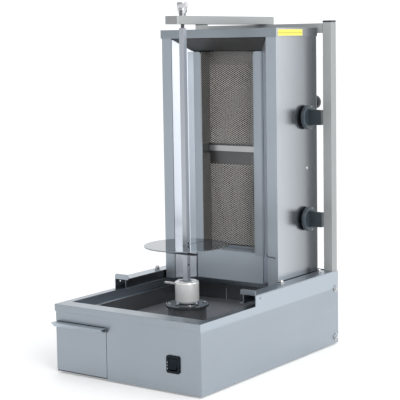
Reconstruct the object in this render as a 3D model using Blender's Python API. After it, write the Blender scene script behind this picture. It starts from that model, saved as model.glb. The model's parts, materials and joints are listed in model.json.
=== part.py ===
"""Vertical rotisserie broiler: a gas heater on rails behind a spit turned by a gear motor.

The base holds the drip pan, the motor and the drawer. Two posts at the back carry a crossbar and
an arm, whose pin holds the top of the spit. The heater cabinet hangs between two rails and can be
slid towards the spit. +X is the operator's right, -Y the front, +Z up. The origin is on the floor
under the middle of the base. Lengths are in millimetres and are scaled to metres in the meshes.
"""
import math

import bmesh
import bpy
from mathutils import Matrix, Vector

MM = 0.001
GAP = 0.3            # clearance between touching pieces
SHEET = 1.5          # panels and tubes
THIN = 1.2           # pan, drawer and reflectors
TUBE_SIDES = 24

# base box
HALF_WIDTH = 215.0
HALF_DEPTH = 310.0
FOOT = 4.0
FOOT_Y = 270.0
FOOT_HALF = 190.0
RIM_Z = 170.0
RIM_OVERHANG = 2.0
RIM_SKIRT = 17.0
RIM_SIDE = 18.0
RIM_FRONT = 40.0
RAISED_Z = 196.0
RAISED_Y = -84.0
LEDGE_Z = 143.0
PAN_FLOOR_Z = 104.0
PAN_HALF_WIDTH = 190.0
PAN_FRONT_Y = -263.0
PAN_BACK_Y = 211.0

# grease drawer
DRAWER_RIGHT = -59.0
DRAWER_BOTTOM = 8.0
DRAWER_TOP = 128.0
DRAWER_LIP = 20.0
DRAWER_DEPTH = 235.0
DRAWER_WALL_TOP = 86.0
DRAWER_BOX_LEFT = -HALF_WIDTH + 8
DRAWER_BOX_RIGHT = DRAWER_RIGHT - 7

# rails that carry the heater
RAIL_WIDTH = 36.0
RAIL_DROP = 22.0
RAIL_LIP = 10.0
RAIL_TAB_HEIGHT = 12.0
RAIL_TAB_WIDTH = 44.0
RAIL_NUT_X = 193.0
RAIL_NUT_Y = (66.0, 250.0)

# posts, crossbar and arm
POST = 25.0
POST_OUTER = HALF_WIDTH - SHEET - GAP
POST_BACK = HALF_DEPTH - SHEET - GAP
POST_TOP = 840.0
CROSSBAR_TOP = 837.2
ARM_WIDTH = 40.0
ARM_HEIGHT = 20.0
ARM_BOTTOM = CROSSBAR_TOP + GAP
ARM_FRONT = -111.0
ARM_BACK = 317.0
BOLT_Y = 296.0
BOLT_Z = (20.0, 148.0)

# spindle
SPIT_Y = -65.0
SPIT = 13.0
SPIT_BOTTOM = 168.5
SPIT_TOP = 829.0
CROSS_HOLES = (248.0, 275.5, 301.0)
CLIP_Z = CROSS_HOLES[1]
CLIP_WIRE = 4.0
PLATE_RADIUS = 105.0
PLATE_THICK = 2.5
PLATE_Z = 294.5
CUP_RADIUS = 30.0
CUP_BOTTOM = 152.5
CUP_TOP = 208.0
CLAMP_Z = 197.0
CLAMP_WIRE = 6.0
SHAFT_RADIUS = 6.0
COLLAR_RADIUS = 48.0
COLLAR_TOP = 144.7
FLANGE_RADIUS = 53.5
FLANGE_TOP = 151.0
FLANGE_BOLT_CIRCLE = 43.5
GEARBOX_RADIUS = 38.0
PIN_RADIUS = 4.5
PIN_BOTTOM = 806.0
KNOB_TOP = 891.0

# rocker switch
SWITCH_X = 139.0
SWITCH_Z = 69.0
SWITCH_WIDTH = 37.0
SWITCH_HEIGHT = 41.0
SWITCH_TILT = 11.0   # resting tilt; it rocks by twice this

# heater cabinet
HEATER_HALF = 175.0
HEATER_FRONT = 80.0
HEATER_BACK = 280.0
HEATER_BOTTOM = RAISED_Z - RAIL_DROP + SHEET + GAP
HEATER_TOP = 824.0
HEATER_CORNER = 8.0
FLANGE_WIDTH = 30.0
LID_BOTTOM = 804.0
LID_TOP = 826.0
REFLECTOR_IN = 105.0
REFLECTOR_FRONT = 82.5
REFLECTOR_BACK = 122.5
FRAME_BOTTOM = 250.0
FRAME_TOP = 769.0
RECESS_HALF = 79.5
MESH_Y = 155.7
CEILING_FRONT_Z = 802.5
CEILING_BACK_Z = 771.5
MESH_LOWER = (257.0, 506.7)
MESH_UPPER = (528.7, 770.0)
VALVE_Y = 216.0
VALVE_Z = {"lower": 340.0, "upper": 600.0}
STEM_RADIUS = 4.0
CONE_START = 145.0
CONE_LENGTH = 20.0
KNOB_PUSH = 4.0
KNOB_RADIUS = 31.0
KNOB_START = 179.8
KNOB_FACE = 192.0
KNOB_END = 225.0
INLET_X = 150.0
INLET_Z = 634.0

FINISHES = {
    "brushed": ((0.62, 0.65, 0.68), 0.32, 1.0),
    "polished": ((0.72, 0.74, 0.76), 0.12, 1.0),
    "dark_steel": ((0.22, 0.24, 0.26), 0.35, 1.0),
    "zinc": ((0.75, 0.76, 0.78), 0.3, 1.0),
    "pearl": ((0.78, 0.78, 0.77), 0.35, 0.2),
    "black_plastic": ((0.03, 0.035, 0.04), 0.45, 0.0),
    "rubber": ((0.03, 0.03, 0.03), 0.8, 0.0),
    "ceramic": ((0.55, 0.5, 0.42), 0.9, 0.0),
    "brass": ((0.75, 0.58, 0.28), 0.35, 1.0),
    "paint": ((0.1, 0.11, 0.12), 0.5, 0.0),
}


def clear_scene():
    for obj in list(bpy.data.objects):
        bpy.data.objects.remove(obj, do_unlink=True)


def mesh_object(bm, name="tool"):
    """Turn a bmesh built in millimetres into an object in metres, faces outward."""
    bmesh.ops.recalc_face_normals(bm, faces=bm.faces)
    bmesh.ops.scale(bm, vec=(MM, MM, MM), verts=bm.verts)
    mesh = bpy.data.meshes.new(name)
    bm.to_mesh(mesh)
    bm.free()
    obj = bpy.data.objects.new(name, mesh)
    bpy.context.collection.objects.link(obj)
    return obj


def box(low, high):
    bm = bmesh.new()
    size = [h - l for l, h in zip(low, high)]
    middle = [(h + l) / 2 for l, h in zip(low, high)]
    place = Matrix.Translation(middle) @ Matrix.Diagonal((*size, 1.0))
    bmesh.ops.create_cube(bm, size=1.0, matrix=place)
    return mesh_object(bm)


def prism(outline, low, high, axis):
    """Extrude a closed outline along an axis; outline points lie in the other two axes, in order."""
    bm = bmesh.new()
    order = {"X": (1, 2, 0), "Y": (0, 2, 1), "Z": (0, 1, 2)}[axis]
    verts = []
    for first, second in outline:
        spot = [0.0, 0.0, 0.0]
        spot[order[0]] = first
        spot[order[1]] = second
        spot[order[2]] = low
        verts.append(bm.verts.new(spot))
    face = bm.faces.new(verts)
    lift = bmesh.ops.extrude_face_region(bm, geom=[face])
    move = [0.0, 0.0, 0.0]
    move[order[2]] = high - low
    new_verts = [item for item in lift["geom"] if isinstance(item, bmesh.types.BMVert)]
    bmesh.ops.translate(bm, vec=move, verts=new_verts)
    return mesh_object(bm)


AXIS_TURN = {
    "Z": Matrix.Identity(4),
    "X": Matrix.Rotation(math.pi / 2, 4, "Y"),
    "Y": Matrix.Rotation(-math.pi / 2, 4, "X"),
}


def turned(profile, centre, axis="Z", steps=TUBE_SIDES, closed=False):
    """Spin (radius, height) points round an axis; a closed profile makes a ring."""
    bm = bmesh.new()
    verts = [bm.verts.new((radius, 0.0, height)) for radius, height in profile]
    pairs = list(zip(verts, verts[1:]))
    if closed:
        pairs.append((verts[-1], verts[0]))
    edges = [bm.edges.new(pair) for pair in pairs]
    bmesh.ops.spin(bm, geom=verts + edges, cent=(0, 0, 0), axis=(0, 0, 1), angle=math.tau, steps=steps)
    bmesh.ops.remove_doubles(bm, verts=bm.verts, dist=1e-4)
    bmesh.ops.transform(bm, matrix=Matrix.Translation(centre) @ AXIS_TURN[axis], verts=bm.verts)
    return mesh_object(bm)


def rod(radius, start, length, axis="Z", steps=TUBE_SIDES, chamfer=0.0):
    profile = [(0.0, 0.0), (radius - chamfer, 0.0)]
    if chamfer:
        profile += [(radius, chamfer), (radius, length - chamfer)]
    else:
        profile += [(radius, length)]
    profile += [(radius - chamfer, length), (0.0, length)]
    if not chamfer:
        profile = [(0.0, 0.0), (radius, 0.0), (radius, length), (0.0, length)]
    return turned(profile, start, axis, steps)


def ring(outer, inner, start, length, axis="Z", steps=TUBE_SIDES):
    profile = [(inner, 0.0), (outer, 0.0), (outer, length), (inner, length)]
    return turned(profile, start, axis, steps, closed=True)


def bent_wire(points, radius, resolution=2):
    """A round wire along points, with filled ends, as a mesh."""
    curve = bpy.data.curves.new("wire", "CURVE")
    curve.dimensions = "3D"
    curve.bevel_depth = radius * MM
    curve.bevel_resolution = resolution
    curve.use_fill_caps = True
    spline = curve.splines.new("POLY")
    spline.points.add(len(points) - 1)
    for knot, point in zip(spline.points, points):
        knot.co = (*[value * MM for value in point], 1.0)
    obj = bpy.data.objects.new("tool", curve)
    bpy.context.collection.objects.link(obj)
    mesh = bpy.data.meshes.new_from_object(obj.evaluated_get(bpy.context.evaluated_depsgraph_get()))
    bpy.data.objects.remove(obj, do_unlink=True)
    bm = bmesh.new()
    bm.from_mesh(mesh)
    bmesh.ops.remove_doubles(bm, verts=bm.verts, dist=1e-6)
    bmesh.ops.scale(bm, vec=(1 / MM, 1 / MM, 1 / MM), verts=bm.verts)
    return mesh_object(bm)


def arc(centre, radius, start, end, count):
    """Points on a circle, angles in degrees."""
    angles = [math.radians(start + (end - start) * i / count) for i in range(count + 1)]
    return [(centre[0] + radius * math.cos(a), centre[1] + radius * math.sin(a)) for a in angles]


def folded(path, thickness):
    """Outline of a bent sheet: the path is one face, the other lies to its left."""
    points = [Vector(point) for point in path]
    inner = []
    for index, point in enumerate(points):
        before = (point - points[index - 1]).normalized() if index else None
        after = (points[index + 1] - point).normalized() if index + 1 < len(points) else None
        first = before or after
        second = after or before
        left_first = Vector((-first.y, first.x))
        left_second = Vector((-second.y, second.x))
        mitre = (left_first + left_second).normalized()
        inner.append(point + mitre * (thickness / max(mitre.dot(left_first), 0.3)))
    return [tuple(p) for p in points] + [tuple(p) for p in reversed(inner)]


def boolean(base, tools, operation):
    """Apply exact Booleans one after another and drop the tools."""
    for tool in tools:
        modifier = base.modifiers.new(operation, "BOOLEAN")
        modifier.operation = operation
        modifier.solver = "EXACT"
        modifier.object = tool
    graph = bpy.context.evaluated_depsgraph_get()
    mesh = bpy.data.meshes.new_from_object(base.evaluated_get(graph))
    base.modifiers.clear()
    base.data = mesh
    for tool in tools:
        bpy.data.objects.remove(tool, do_unlink=True)
    return base


def union(base, *tools):
    return boolean(base, tools, "UNION")


def cut(base, *tools):
    return boolean(base, tools, "DIFFERENCE")


def node(obj, name, finish, origin=None):
    """Name a finished piece, give it a material and put its origin where it belongs."""
    obj.name = name
    obj.data.name = name
    color, roughness, metallic = FINISHES[finish]
    material = bpy.data.materials.new(f"{name}_{finish}")
    material.use_nodes = True
    shader = material.node_tree.nodes["Principled BSDF"]
    shader.inputs["Base Color"].default_value = (*color, 1.0)
    shader.inputs["Roughness"].default_value = roughness
    shader.inputs["Metallic"].default_value = metallic
    obj.data.materials.clear()
    obj.data.materials.append(material)
    obj.data.shade_smooth()
    obj.data.set_sharp_from_angle(angle=math.radians(35))
    if origin is not None:
        place = Vector(origin) * MM
        obj.data.transform(Matrix.Translation(-place))
        obj.location = place
    return obj


def mirrored_box(low, high, side):
    """A box given for +X, on either side."""
    if side > 0:
        return box(low, high)
    return box((-high[0], low[1], low[2]), (-low[0], high[1], high[2]))


def mirrored(outline, side):
    return [(side * first, second) for first, second in outline]


SIDES = {"left": -1, "right": 1}


# ---------------------------------------------------------------- base box
def base_panels():
    front = prism(
        [(DRAWER_RIGHT + 1.5, FOOT), (HALF_WIDTH, FOOT), (HALF_WIDTH, RIM_Z - SHEET - GAP),
         (-HALF_WIDTH, RIM_Z - SHEET - GAP), (-HALF_WIDTH, DRAWER_TOP + 1.5),
         (DRAWER_RIGHT + 1.5, DRAWER_TOP + 1.5)],
        -HALF_DEPTH, -HALF_DEPTH + SHEET, "Y")
    hole_half = (SWITCH_WIDTH / 2 - 3, SWITCH_HEIGHT / 2 - 3)
    cut(front, box((SWITCH_X - hole_half[0], -HALF_DEPTH - 5, SWITCH_Z - hole_half[1]),
                   (SWITCH_X + hole_half[0], -HALF_DEPTH + 5, SWITCH_Z + hole_half[1])))
    node(front, "base_front_panel", "brushed")

    for name, side in SIDES.items():
        outline = [(-POST_BACK, FOOT), (POST_BACK, FOOT), (POST_BACK, RAISED_Z - SHEET - GAP),
                   (RAISED_Y, RAISED_Z - SHEET - GAP), (RAISED_Y, RIM_Z - SHEET - GAP),
                   (-POST_BACK, RIM_Z - SHEET - GAP)]
        span = sorted((side * HALF_WIDTH, side * (HALF_WIDTH - SHEET)))
        panel = prism(outline, span[0], span[1], "X")
        holes = [rod(3.3, (side * HALF_WIDTH - 10, BOLT_Y, z), 20, "X", 12) for z in BOLT_Z]
        holes.append(rod(2.2, (side * HALF_WIDTH - 10, RAISED_Y + 20, RAISED_Z - 10), 20, "X", 12))
        cut(panel, *holes)
        node(panel, f"base_side_panel_{name}", "brushed")

    rear = box((-HALF_WIDTH, HALF_DEPTH - SHEET, FOOT), (HALF_WIDTH, HALF_DEPTH, RAISED_Z - SHEET - GAP))
    cut(rear, rod(8.3, (150, HALF_DEPTH - 10, 60), 20, "Y", 16))
    node(rear, "base_rear_panel", "brushed")

    inner = HALF_WIDTH - SHEET - GAP
    floor_top = FOOT + GAP + SHEET
    floor = box((-inner, -POST_BACK, FOOT + GAP), (inner, POST_BACK, floor_top))
    runner_top = DRAWER_BOTTOM + 4 - GAP
    for x in (DRAWER_BOX_LEFT + 6, DRAWER_BOX_RIGHT - 16):
        outline = [(x, floor_top - 0.5), (x + SHEET, floor_top - 0.5), (x + SHEET, runner_top - SHEET),
                   (x + 10, runner_top - SHEET), (x + 10, runner_top), (x, runner_top)]
        union(floor, prism(outline, -POST_BACK + 4, -POST_BACK + DRAWER_DEPTH + 20, "Y"))
    node(floor, "base_floor_plate", "zinc")

    for name, y in {"front": -FOOT_Y, "rear": FOOT_Y}.items():
        outline = [(y - 11, 0), (y + 11, 0), (y + 13, 1.5), (y + 13, FOOT), (y - 13, FOOT), (y - 13, 1.5)]
        node(prism(outline, -FOOT_HALF, FOOT_HALF, "X"), f"rubber_foot_{name}", "rubber")


def top_frame():
    """Rim round the drip pan: a flat top, an outer skirt over the panels and an inner skirt."""
    outer = HALF_WIDTH + RIM_OVERHANG
    inner = HALF_WIDTH - RIM_SIDE
    front = -HALF_DEPTH - RIM_OVERHANG
    well_front = -HALF_DEPTH + RIM_FRONT
    well_back = PAN_BACK_Y + 7
    behind = HALF_WIDTH - SHEET - GAP
    plate = prism(
        [(-outer, front), (outer, front), (outer, RAISED_Y - GAP), (behind, RAISED_Y - GAP),
         (behind, POST_BACK - POST - GAP), (POST_OUTER - POST - GAP, POST_BACK - POST - GAP),
         (POST_OUTER - POST - GAP, POST_BACK), (-POST_OUTER + POST + GAP, POST_BACK),
         (-POST_OUTER + POST + GAP, POST_BACK - POST - GAP), (-behind, POST_BACK - POST - GAP),
         (-behind, RAISED_Y - GAP), (-outer, RAISED_Y - GAP)],
        RIM_Z - SHEET, RIM_Z, "Z")
    skirt = prism(
        [(-outer, RAISED_Y - GAP), (-outer, front), (outer, front), (outer, RAISED_Y - GAP),
         (outer - SHEET, RAISED_Y - GAP), (outer - SHEET, front + SHEET),
         (-outer + SHEET, front + SHEET), (-outer + SHEET, RAISED_Y - GAP)],
        RIM_Z - RIM_SKIRT, RIM_Z - 0.5, "Z")
    well = box((-inner - SHEET, well_front - SHEET, LEDGE_Z), (inner + SHEET, well_back + SHEET, RIM_Z - 0.5))
    frame = union(plate, skirt, well)
    cut(frame,
        box((-inner, well_front, LEDGE_Z + SHEET), (inner, well_back, RIM_Z + 5)),
        box((-inner + 5, well_front + 5, LEDGE_Z - 5), (inner - 5, well_back - 5, RIM_Z)))
    node(frame, "top_frame", "brushed")


def drip_pan():
    """Shallow pan with a raised motor collar and a drain over the drawer."""
    flange_z = LEDGE_Z + SHEET + GAP
    half = PAN_HALF_WIDTH
    body = box((-half - THIN, PAN_FRONT_Y - THIN, PAN_FLOOR_Z - THIN),
               (half + THIN, PAN_BACK_Y + THIN, flange_z + THIN))
    flange = box((-half - 6.5, PAN_FRONT_Y - 6.5, flange_z), (half + 6.5, PAN_BACK_Y + 6.5, flange_z + THIN))
    collar = ring(COLLAR_RADIUS, COLLAR_RADIUS - SHEET, (0, SPIT_Y, PAN_FLOOR_Z - 0.5), COLLAR_TOP - PAN_FLOOR_Z + 0.5,
                  steps=40)
    spout = ring(15, 13, (-137, -200, PAN_FLOOR_Z - 12), 11.5, steps=20)
    pan = union(body, flange)
    cut(pan, box((-half, PAN_FRONT_Y, PAN_FLOOR_Z), (half, PAN_BACK_Y, flange_z + 10)))
    cut(pan, rod(COLLAR_RADIUS - SHEET, (0, SPIT_Y, PAN_FLOOR_Z - 5), 10, steps=40),
        rod(13, (-137, -200, PAN_FLOOR_Z - 5), 10, steps=20))
    union(pan, collar, spout)
    node(pan, "drip_pan", "polished")


def rails():
    """Inverted channels with an inward lip for the heater and an upturned tab at the front end."""
    top = RAISED_Z
    inner = HALF_WIDTH - RAIL_WIDTH
    back = POST_BACK - POST - GAP
    for name, side in SIDES.items():
        path = [(HALF_WIDTH, top), (inner, top), (inner, top - RAIL_DROP), (inner - RAIL_LIP, top - RAIL_DROP)]
        outline = mirrored(folded(path, SHEET), side)
        rail = prism(outline, RAISED_Y, back, "Y")
        tab_low = HALF_WIDTH - RAIL_TAB_WIDTH
        tab_top = top + RAIL_TAB_HEIGHT
        tab_outline = [(tab_low, top - SHEET), (HALF_WIDTH, top - SHEET), (HALF_WIDTH, tab_top - 6)]
        tab_outline += arc((HALF_WIDTH - 6, tab_top - 6), 6, 0, 90, 4)[1:]
        tab_outline += arc((tab_low + 6, tab_top - 6), 6, 90, 180, 4)
        tab = prism(mirrored(tab_outline, side), RAISED_Y, RAISED_Y + SHEET, "Y")
        union(rail, tab)
        cut(rail, *[rod(4.3, (side * RAIL_NUT_X, y, top - 5), 10, steps=12) for y in RAIL_NUT_Y])
        node(rail, f"rail_{name}", "brushed")

    dome = [(0, 12)] + [(5.4 * math.cos(math.radians(a)), 6.5 + 5.5 * math.sin(math.radians(a)))
                        for a in (70, 45, 20)]
    under = top - SHEET - GAP
    for name, side in SIDES.items():
        x = side * RAIL_NUT_X
        strip = box((x - 8, RAIL_NUT_Y[0] - 16, under - 2), (x + 8, RAIL_NUT_Y[1] + 16, under))
        for y in RAIL_NUT_Y:
            union(strip, rod(4.0, (x, y, under - 1), 8, steps=12),
                  rod(8.0, (x, y, top + GAP), 1.6, steps=16),
                  rod(6.5, (x, y, top + GAP + 1.2), 5.6, steps=6),
                  turned(dome + [(5.4, 6.0), (0, 6.0)], (x, y, top + GAP), steps=16))
        node(strip, f"rail_studs_{name}", "zinc")


def switch():
    plane = -HALF_DEPTH - GAP
    half_w = SWITCH_WIDTH / 2
    half_h = SWITCH_HEIGHT / 2
    outline = []
    for centre_x, centre_z, start in ((1, 1, 0), (-1, 1, 90), (-1, -1, 180), (1, -1, 270)):
        outline += arc((SWITCH_X + centre_x * (half_w - 5), SWITCH_Z + centre_z * (half_h - 5)), 5,
                       start, start + 90, 3)
    bezel = prism(outline, plane - 3.5, plane, "Y")
    body_half = (half_w - 3.4, half_h - 3.4)
    body = box((SWITCH_X - body_half[0], plane - 1, SWITCH_Z - body_half[1]),
               (SWITCH_X + body_half[0], plane + 26, SWITCH_Z + body_half[1]))
    union(bezel, body)
    pocket = (body_half[0] - 3, body_half[1] - 3)
    cut(bezel, box((SWITCH_X - pocket[0], plane - 8, SWITCH_Z - pocket[1]),
                   (SWITCH_X + pocket[0], plane + 12, SWITCH_Z + pocket[1])))
    node(bezel, "switch_bezel", "black_plastic")

    hinge_y = plane + 4
    key_half = pocket[1] - 2.2
    profile = [(2, -4), (2, 4), (-4, key_half), (-9.5, key_half), (-6.8, 0), (-9.5, -key_half), (-4, -key_half)]
    tilt = Matrix.Rotation(math.radians(-SWITCH_TILT), 2)
    outline = [tilt @ Vector(point) + Vector((hinge_y, SWITCH_Z)) for point in profile]
    rocker = prism(outline, SWITCH_X - pocket[0] + 0.6, SWITCH_X + pocket[0] - 0.6, "X")
    node(rocker, "switch_rocker", "black_plastic", (SWITCH_X, hinge_y, SWITCH_Z))


def cable_gland():
    gland = union(rod(8, (150, HALF_DEPTH - 8, 60), 14, "Y", 16),
                  rod(12, (150, HALF_DEPTH + GAP, 60), 5, "Y", 6),
                  rod(10, (150, HALF_DEPTH + 4, 60), 6, "Y", 16))
    cut(gland, rod(4, (150, HALF_DEPTH - 20, 60), 60, "Y", 12))
    node(gland, "cable_gland", "black_plastic")


# ---------------------------------------------------------------- drawer
def drawer():
    lip_y = -HALF_DEPTH - DRAWER_LIP
    front_face = box((-HALF_WIDTH, -HALF_DEPTH, DRAWER_BOTTOM), (DRAWER_RIGHT, -HALF_DEPTH + SHEET, DRAWER_TOP))
    path = [(lip_y + 12.5, DRAWER_TOP - 12.5), (lip_y, DRAWER_TOP), (-HALF_DEPTH + 1, DRAWER_TOP)]
    handle = prism(folded(path, -SHEET), -HALF_WIDTH, DRAWER_RIGHT, "X")
    front = union(front_face, handle)
    node(front, "drawer_front", "brushed")

    left = DRAWER_BOX_LEFT
    right = DRAWER_BOX_RIGHT
    start = -HALF_DEPTH + SHEET + GAP
    body = box((left, start, DRAWER_BOTTOM + 4), (right, start + DRAWER_DEPTH, DRAWER_WALL_TOP))
    cut(body, box((left + THIN, start + THIN, DRAWER_BOTTOM + 4 + THIN),
                  (right - THIN, start + DRAWER_DEPTH - THIN, DRAWER_WALL_TOP + 5)))
    node(body, "drawer_box", "polished")



# ---------------------------------------------------------------- posts, crossbar, arm
def tube_z(x_low, y_low, z_low, z_high, size):
    tube = box((x_low, y_low, z_low), (x_low + size, y_low + size, z_high))
    return cut(tube, box((x_low + SHEET, y_low + SHEET, z_low - 5),
                         (x_low + size - SHEET, y_low + size - SHEET, z_high + 5)))


def support_frame():
    floor_top = FOOT + GAP + SHEET + GAP
    for name, side in SIDES.items():
        x_low = min(side * POST_OUTER, side * (POST_OUTER - POST))
        post = tube_z(x_low, POST_BACK - POST, floor_top, POST_TOP, POST)
        outer_hole = side * (POST_OUTER - 1)
        cut(post, *[rod(3.3, (outer_hole - 3, BOLT_Y, z), 6, "X", 12) for z in BOLT_Z])
        node(post, f"post_{name}", "brushed")

    inner = POST_OUTER - POST - GAP
    y_low = POST_BACK - POST
    bar = box((-inner, y_low, CROSSBAR_TOP - POST), (inner, POST_BACK, CROSSBAR_TOP))
    cut(bar, box((-inner - 5, y_low + SHEET, CROSSBAR_TOP - POST + SHEET),
                 (inner + 5, POST_BACK - SHEET, CROSSBAR_TOP - SHEET)))
    cut(bar, *[rod(3.3, (x, BOLT_Y, CROSSBAR_TOP - 4), 8, steps=12) for x in (-11, 11)])
    node(bar, "crossbar", "brushed")

    corner = 5.0
    half = ARM_WIDTH / 2
    outline = [(-half, ARM_BACK)] + arc((-half + corner, ARM_FRONT + corner), corner, 180, 270, 4)
    outline += arc((half - corner, ARM_FRONT + corner), corner, 270, 360, 4) + [(half, ARM_BACK)]
    arm = prism(outline, ARM_BOTTOM, ARM_BOTTOM + ARM_HEIGHT, "Z")
    cut(arm, box((-half + SHEET, ARM_FRONT + 6, ARM_BOTTOM + SHEET),
                 (half - SHEET, ARM_BACK - SHEET, ARM_BOTTOM + ARM_HEIGHT - SHEET)))
    cut(arm, rod(PIN_RADIUS + 0.4, (0, SPIT_Y, ARM_BOTTOM - 5), ARM_HEIGHT + 10, steps=TUBE_SIDES),
        *[rod(3.3, (x, BOLT_Y, ARM_BOTTOM - 5), ARM_HEIGHT + 10, steps=12) for x in (-11, 11)])
    node(arm, "top_arm", "brushed")

    for name, side in SIDES.items():
        middle = (side * (POST_OUTER - POST / 2), POST_BACK - POST / 2)
        cap_half = POST / 2 + 0.2
        head = box((middle[0] - cap_half, middle[1] - cap_half, POST_TOP + GAP),
                   (middle[0] + cap_half, middle[1] + cap_half, POST_TOP + 4))
        plug_half = POST / 2 - SHEET - GAP
        plug = box((middle[0] - plug_half, middle[1] - plug_half, POST_TOP - 12),
                   (middle[0] + plug_half, middle[1] + plug_half, POST_TOP + 2))
        node(union(head, plug), f"post_cap_{name}", "black_plastic")


def post_bolts():
    """On each side, a nut plate inside the post with the two bolts that hold it to the panel."""
    wall = POST_OUTER - SHEET - GAP
    for name, side in SIDES.items():
        plate = mirrored_box((wall - 3, BOLT_Y - 8, BOLT_Z[0] - 9), (wall, BOLT_Y + 8, BOLT_Z[1] + 9), side)
        for z in BOLT_Z:
            outside = HALF_WIDTH + GAP
            spans = ((9, outside, outside + 1.6, 20), (6, outside + 1.2, outside + 5, 6),
                     (3, wall - 8, outside + 1, 12))
            for radius, low, high, sides in spans:
                start = low if side > 0 else -high
                union(plate, rod(radius, (start, BOLT_Y, z), high - low, "X", sides))
        node(plate, f"post_bolts_{name}", "zinc")


# ---------------------------------------------------------------- motor and spindle
def motor():
    gasket = ring(FLANGE_RADIUS, SHAFT_RADIUS + 6, (0, SPIT_Y, 145.0), 2.0, steps=40)
    cut(gasket, *screw_holes(144, 5))
    node(gasket, "flange_gasket", "rubber")
    flange = turned([(7.0, 0.0), (FLANGE_RADIUS, 0.0), (FLANGE_RADIUS, 2.7), (FLANGE_RADIUS - 1, 3.7),
                     (7.0, 3.7)],
                    (0, SPIT_Y, 147.3), steps=40, closed=True)
    cut(flange, *screw_holes(146, 8))
    node(flange, "motor_flange", "polished")

    screws = ring(COLLAR_RADIUS - SHEET - GAP, GEARBOX_RADIUS + GAP, (0, SPIT_Y, 137), 7.4, steps=40)
    for x, y in screw_spots():
        head = turned([(0, 0), (4.6, 0), (4.6, 1.4), (3.4, 2.8), (0, 3.1)], (x, y, FLANGE_TOP + GAP), steps=14)
        union(screws, rod(2.2, (x, y, 139), FLANGE_TOP + 1 - 139, steps=12), head)
    node(screws, "flange_screws", "zinc")

    profile = [(0, 22), (24, 22), (29, 27), (29, 84), (GEARBOX_RADIUS, 88), (GEARBOX_RADIUS, COLLAR_TOP), (7, COLLAR_TOP), (7, 120), (0, 120)]
    body = turned([(r, z - 22) for r, z in profile], (0, SPIT_Y, 22), steps=32)
    terminal = box((20, SPIT_Y - 14, 34), (44, SPIT_Y + 14, 62))
    node(union(body, terminal), "gear_motor", "dark_steel")

    shaft = rod(SHAFT_RADIUS, (0, SPIT_Y, 122), 43, steps=20, chamfer=0.8)
    node(shaft, "motor_shaft", "polished", (0, SPIT_Y, 122))


def screw_spots():
    return [(FLANGE_BOLT_CIRCLE * math.cos(math.radians(a)), SPIT_Y + FLANGE_BOLT_CIRCLE * math.sin(math.radians(a)))
            for a in (45, 135, 225, 315)]


def screw_holes(bottom, height):
    return [rod(2.8, (x, y, bottom), height, steps=12) for x, y in screw_spots()]


def spindle():
    round_edge = [(CUP_RADIUS - 5 + 5 * math.cos(math.radians(a)), CUP_TOP - 5 + 5 * math.sin(math.radians(a)))
                  for a in (0, 22.5, 45, 67.5, 90)]
    profile = [(0, CUP_BOTTOM), (22, CUP_BOTTOM), (24, CUP_BOTTOM + 4), (CUP_RADIUS - 1, CUP_BOTTOM + 5),
               (CUP_RADIUS, CUP_BOTTOM + 7)] + round_edge
    profile += [(20, CUP_TOP), (17.5, CUP_TOP - 3.5), (0, CUP_TOP - 3.5)]
    cup = turned([(r, z - CUP_BOTTOM) for r, z in profile], (0, SPIT_Y, CUP_BOTTOM), steps=40)
    socket = SPIT / 2 + GAP
    cut(cup, box((-socket, SPIT_Y - socket, SPIT_BOTTOM - GAP), (socket, SPIT_Y + socket, CUP_TOP + 5)))
    cut(cup, rod(SHAFT_RADIUS + GAP, (0, SPIT_Y, CUP_BOTTOM - 5), 18, steps=20))
    cut(cup, rod(CLAMP_WIRE / 2 + GAP, (-CUP_RADIUS - 5, SPIT_Y, CLAMP_Z), CUP_RADIUS, "X", 16))
    node(cup, "drive_cup", "pearl", (0, SPIT_Y, CUP_BOTTOM))

    half = SPIT / 2
    bar = box((-half, SPIT_Y - half, SPIT_BOTTOM), (half, SPIT_Y + half, SPIT_TOP))
    taper = bar.modifiers.new("ends", "BEVEL")
    taper.width = 2.5 * MM
    taper.segments = 1
    taper.limit_method = "VGROUP"
    ends = bar.vertex_groups.new(name="ends")
    ends.add([v.index for v in bar.data.vertices], 1.0, "REPLACE")
    taper.vertex_group = "ends"
    taper.affect = "VERTICES"
    cut(bar, *[rod(2.6, (-20, SPIT_Y, z), 40, "X", 12) for z in CROSS_HOLES])
    cut(bar, rod(PIN_RADIUS + 0.4, (0, SPIT_Y, PIN_BOTTOM - 1), 40, steps=16))
    node(bar, "spit_bar", "brushed", (0, SPIT_Y, SPIT_BOTTOM))

    clamp = rod(CLAMP_WIRE / 2, (-68, SPIT_Y, CLAMP_Z), 68 - half - GAP, "X", 16, chamfer=0.6)
    node(clamp, "clamp_screw", "zinc", (-68, SPIT_Y, CLAMP_Z))


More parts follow.
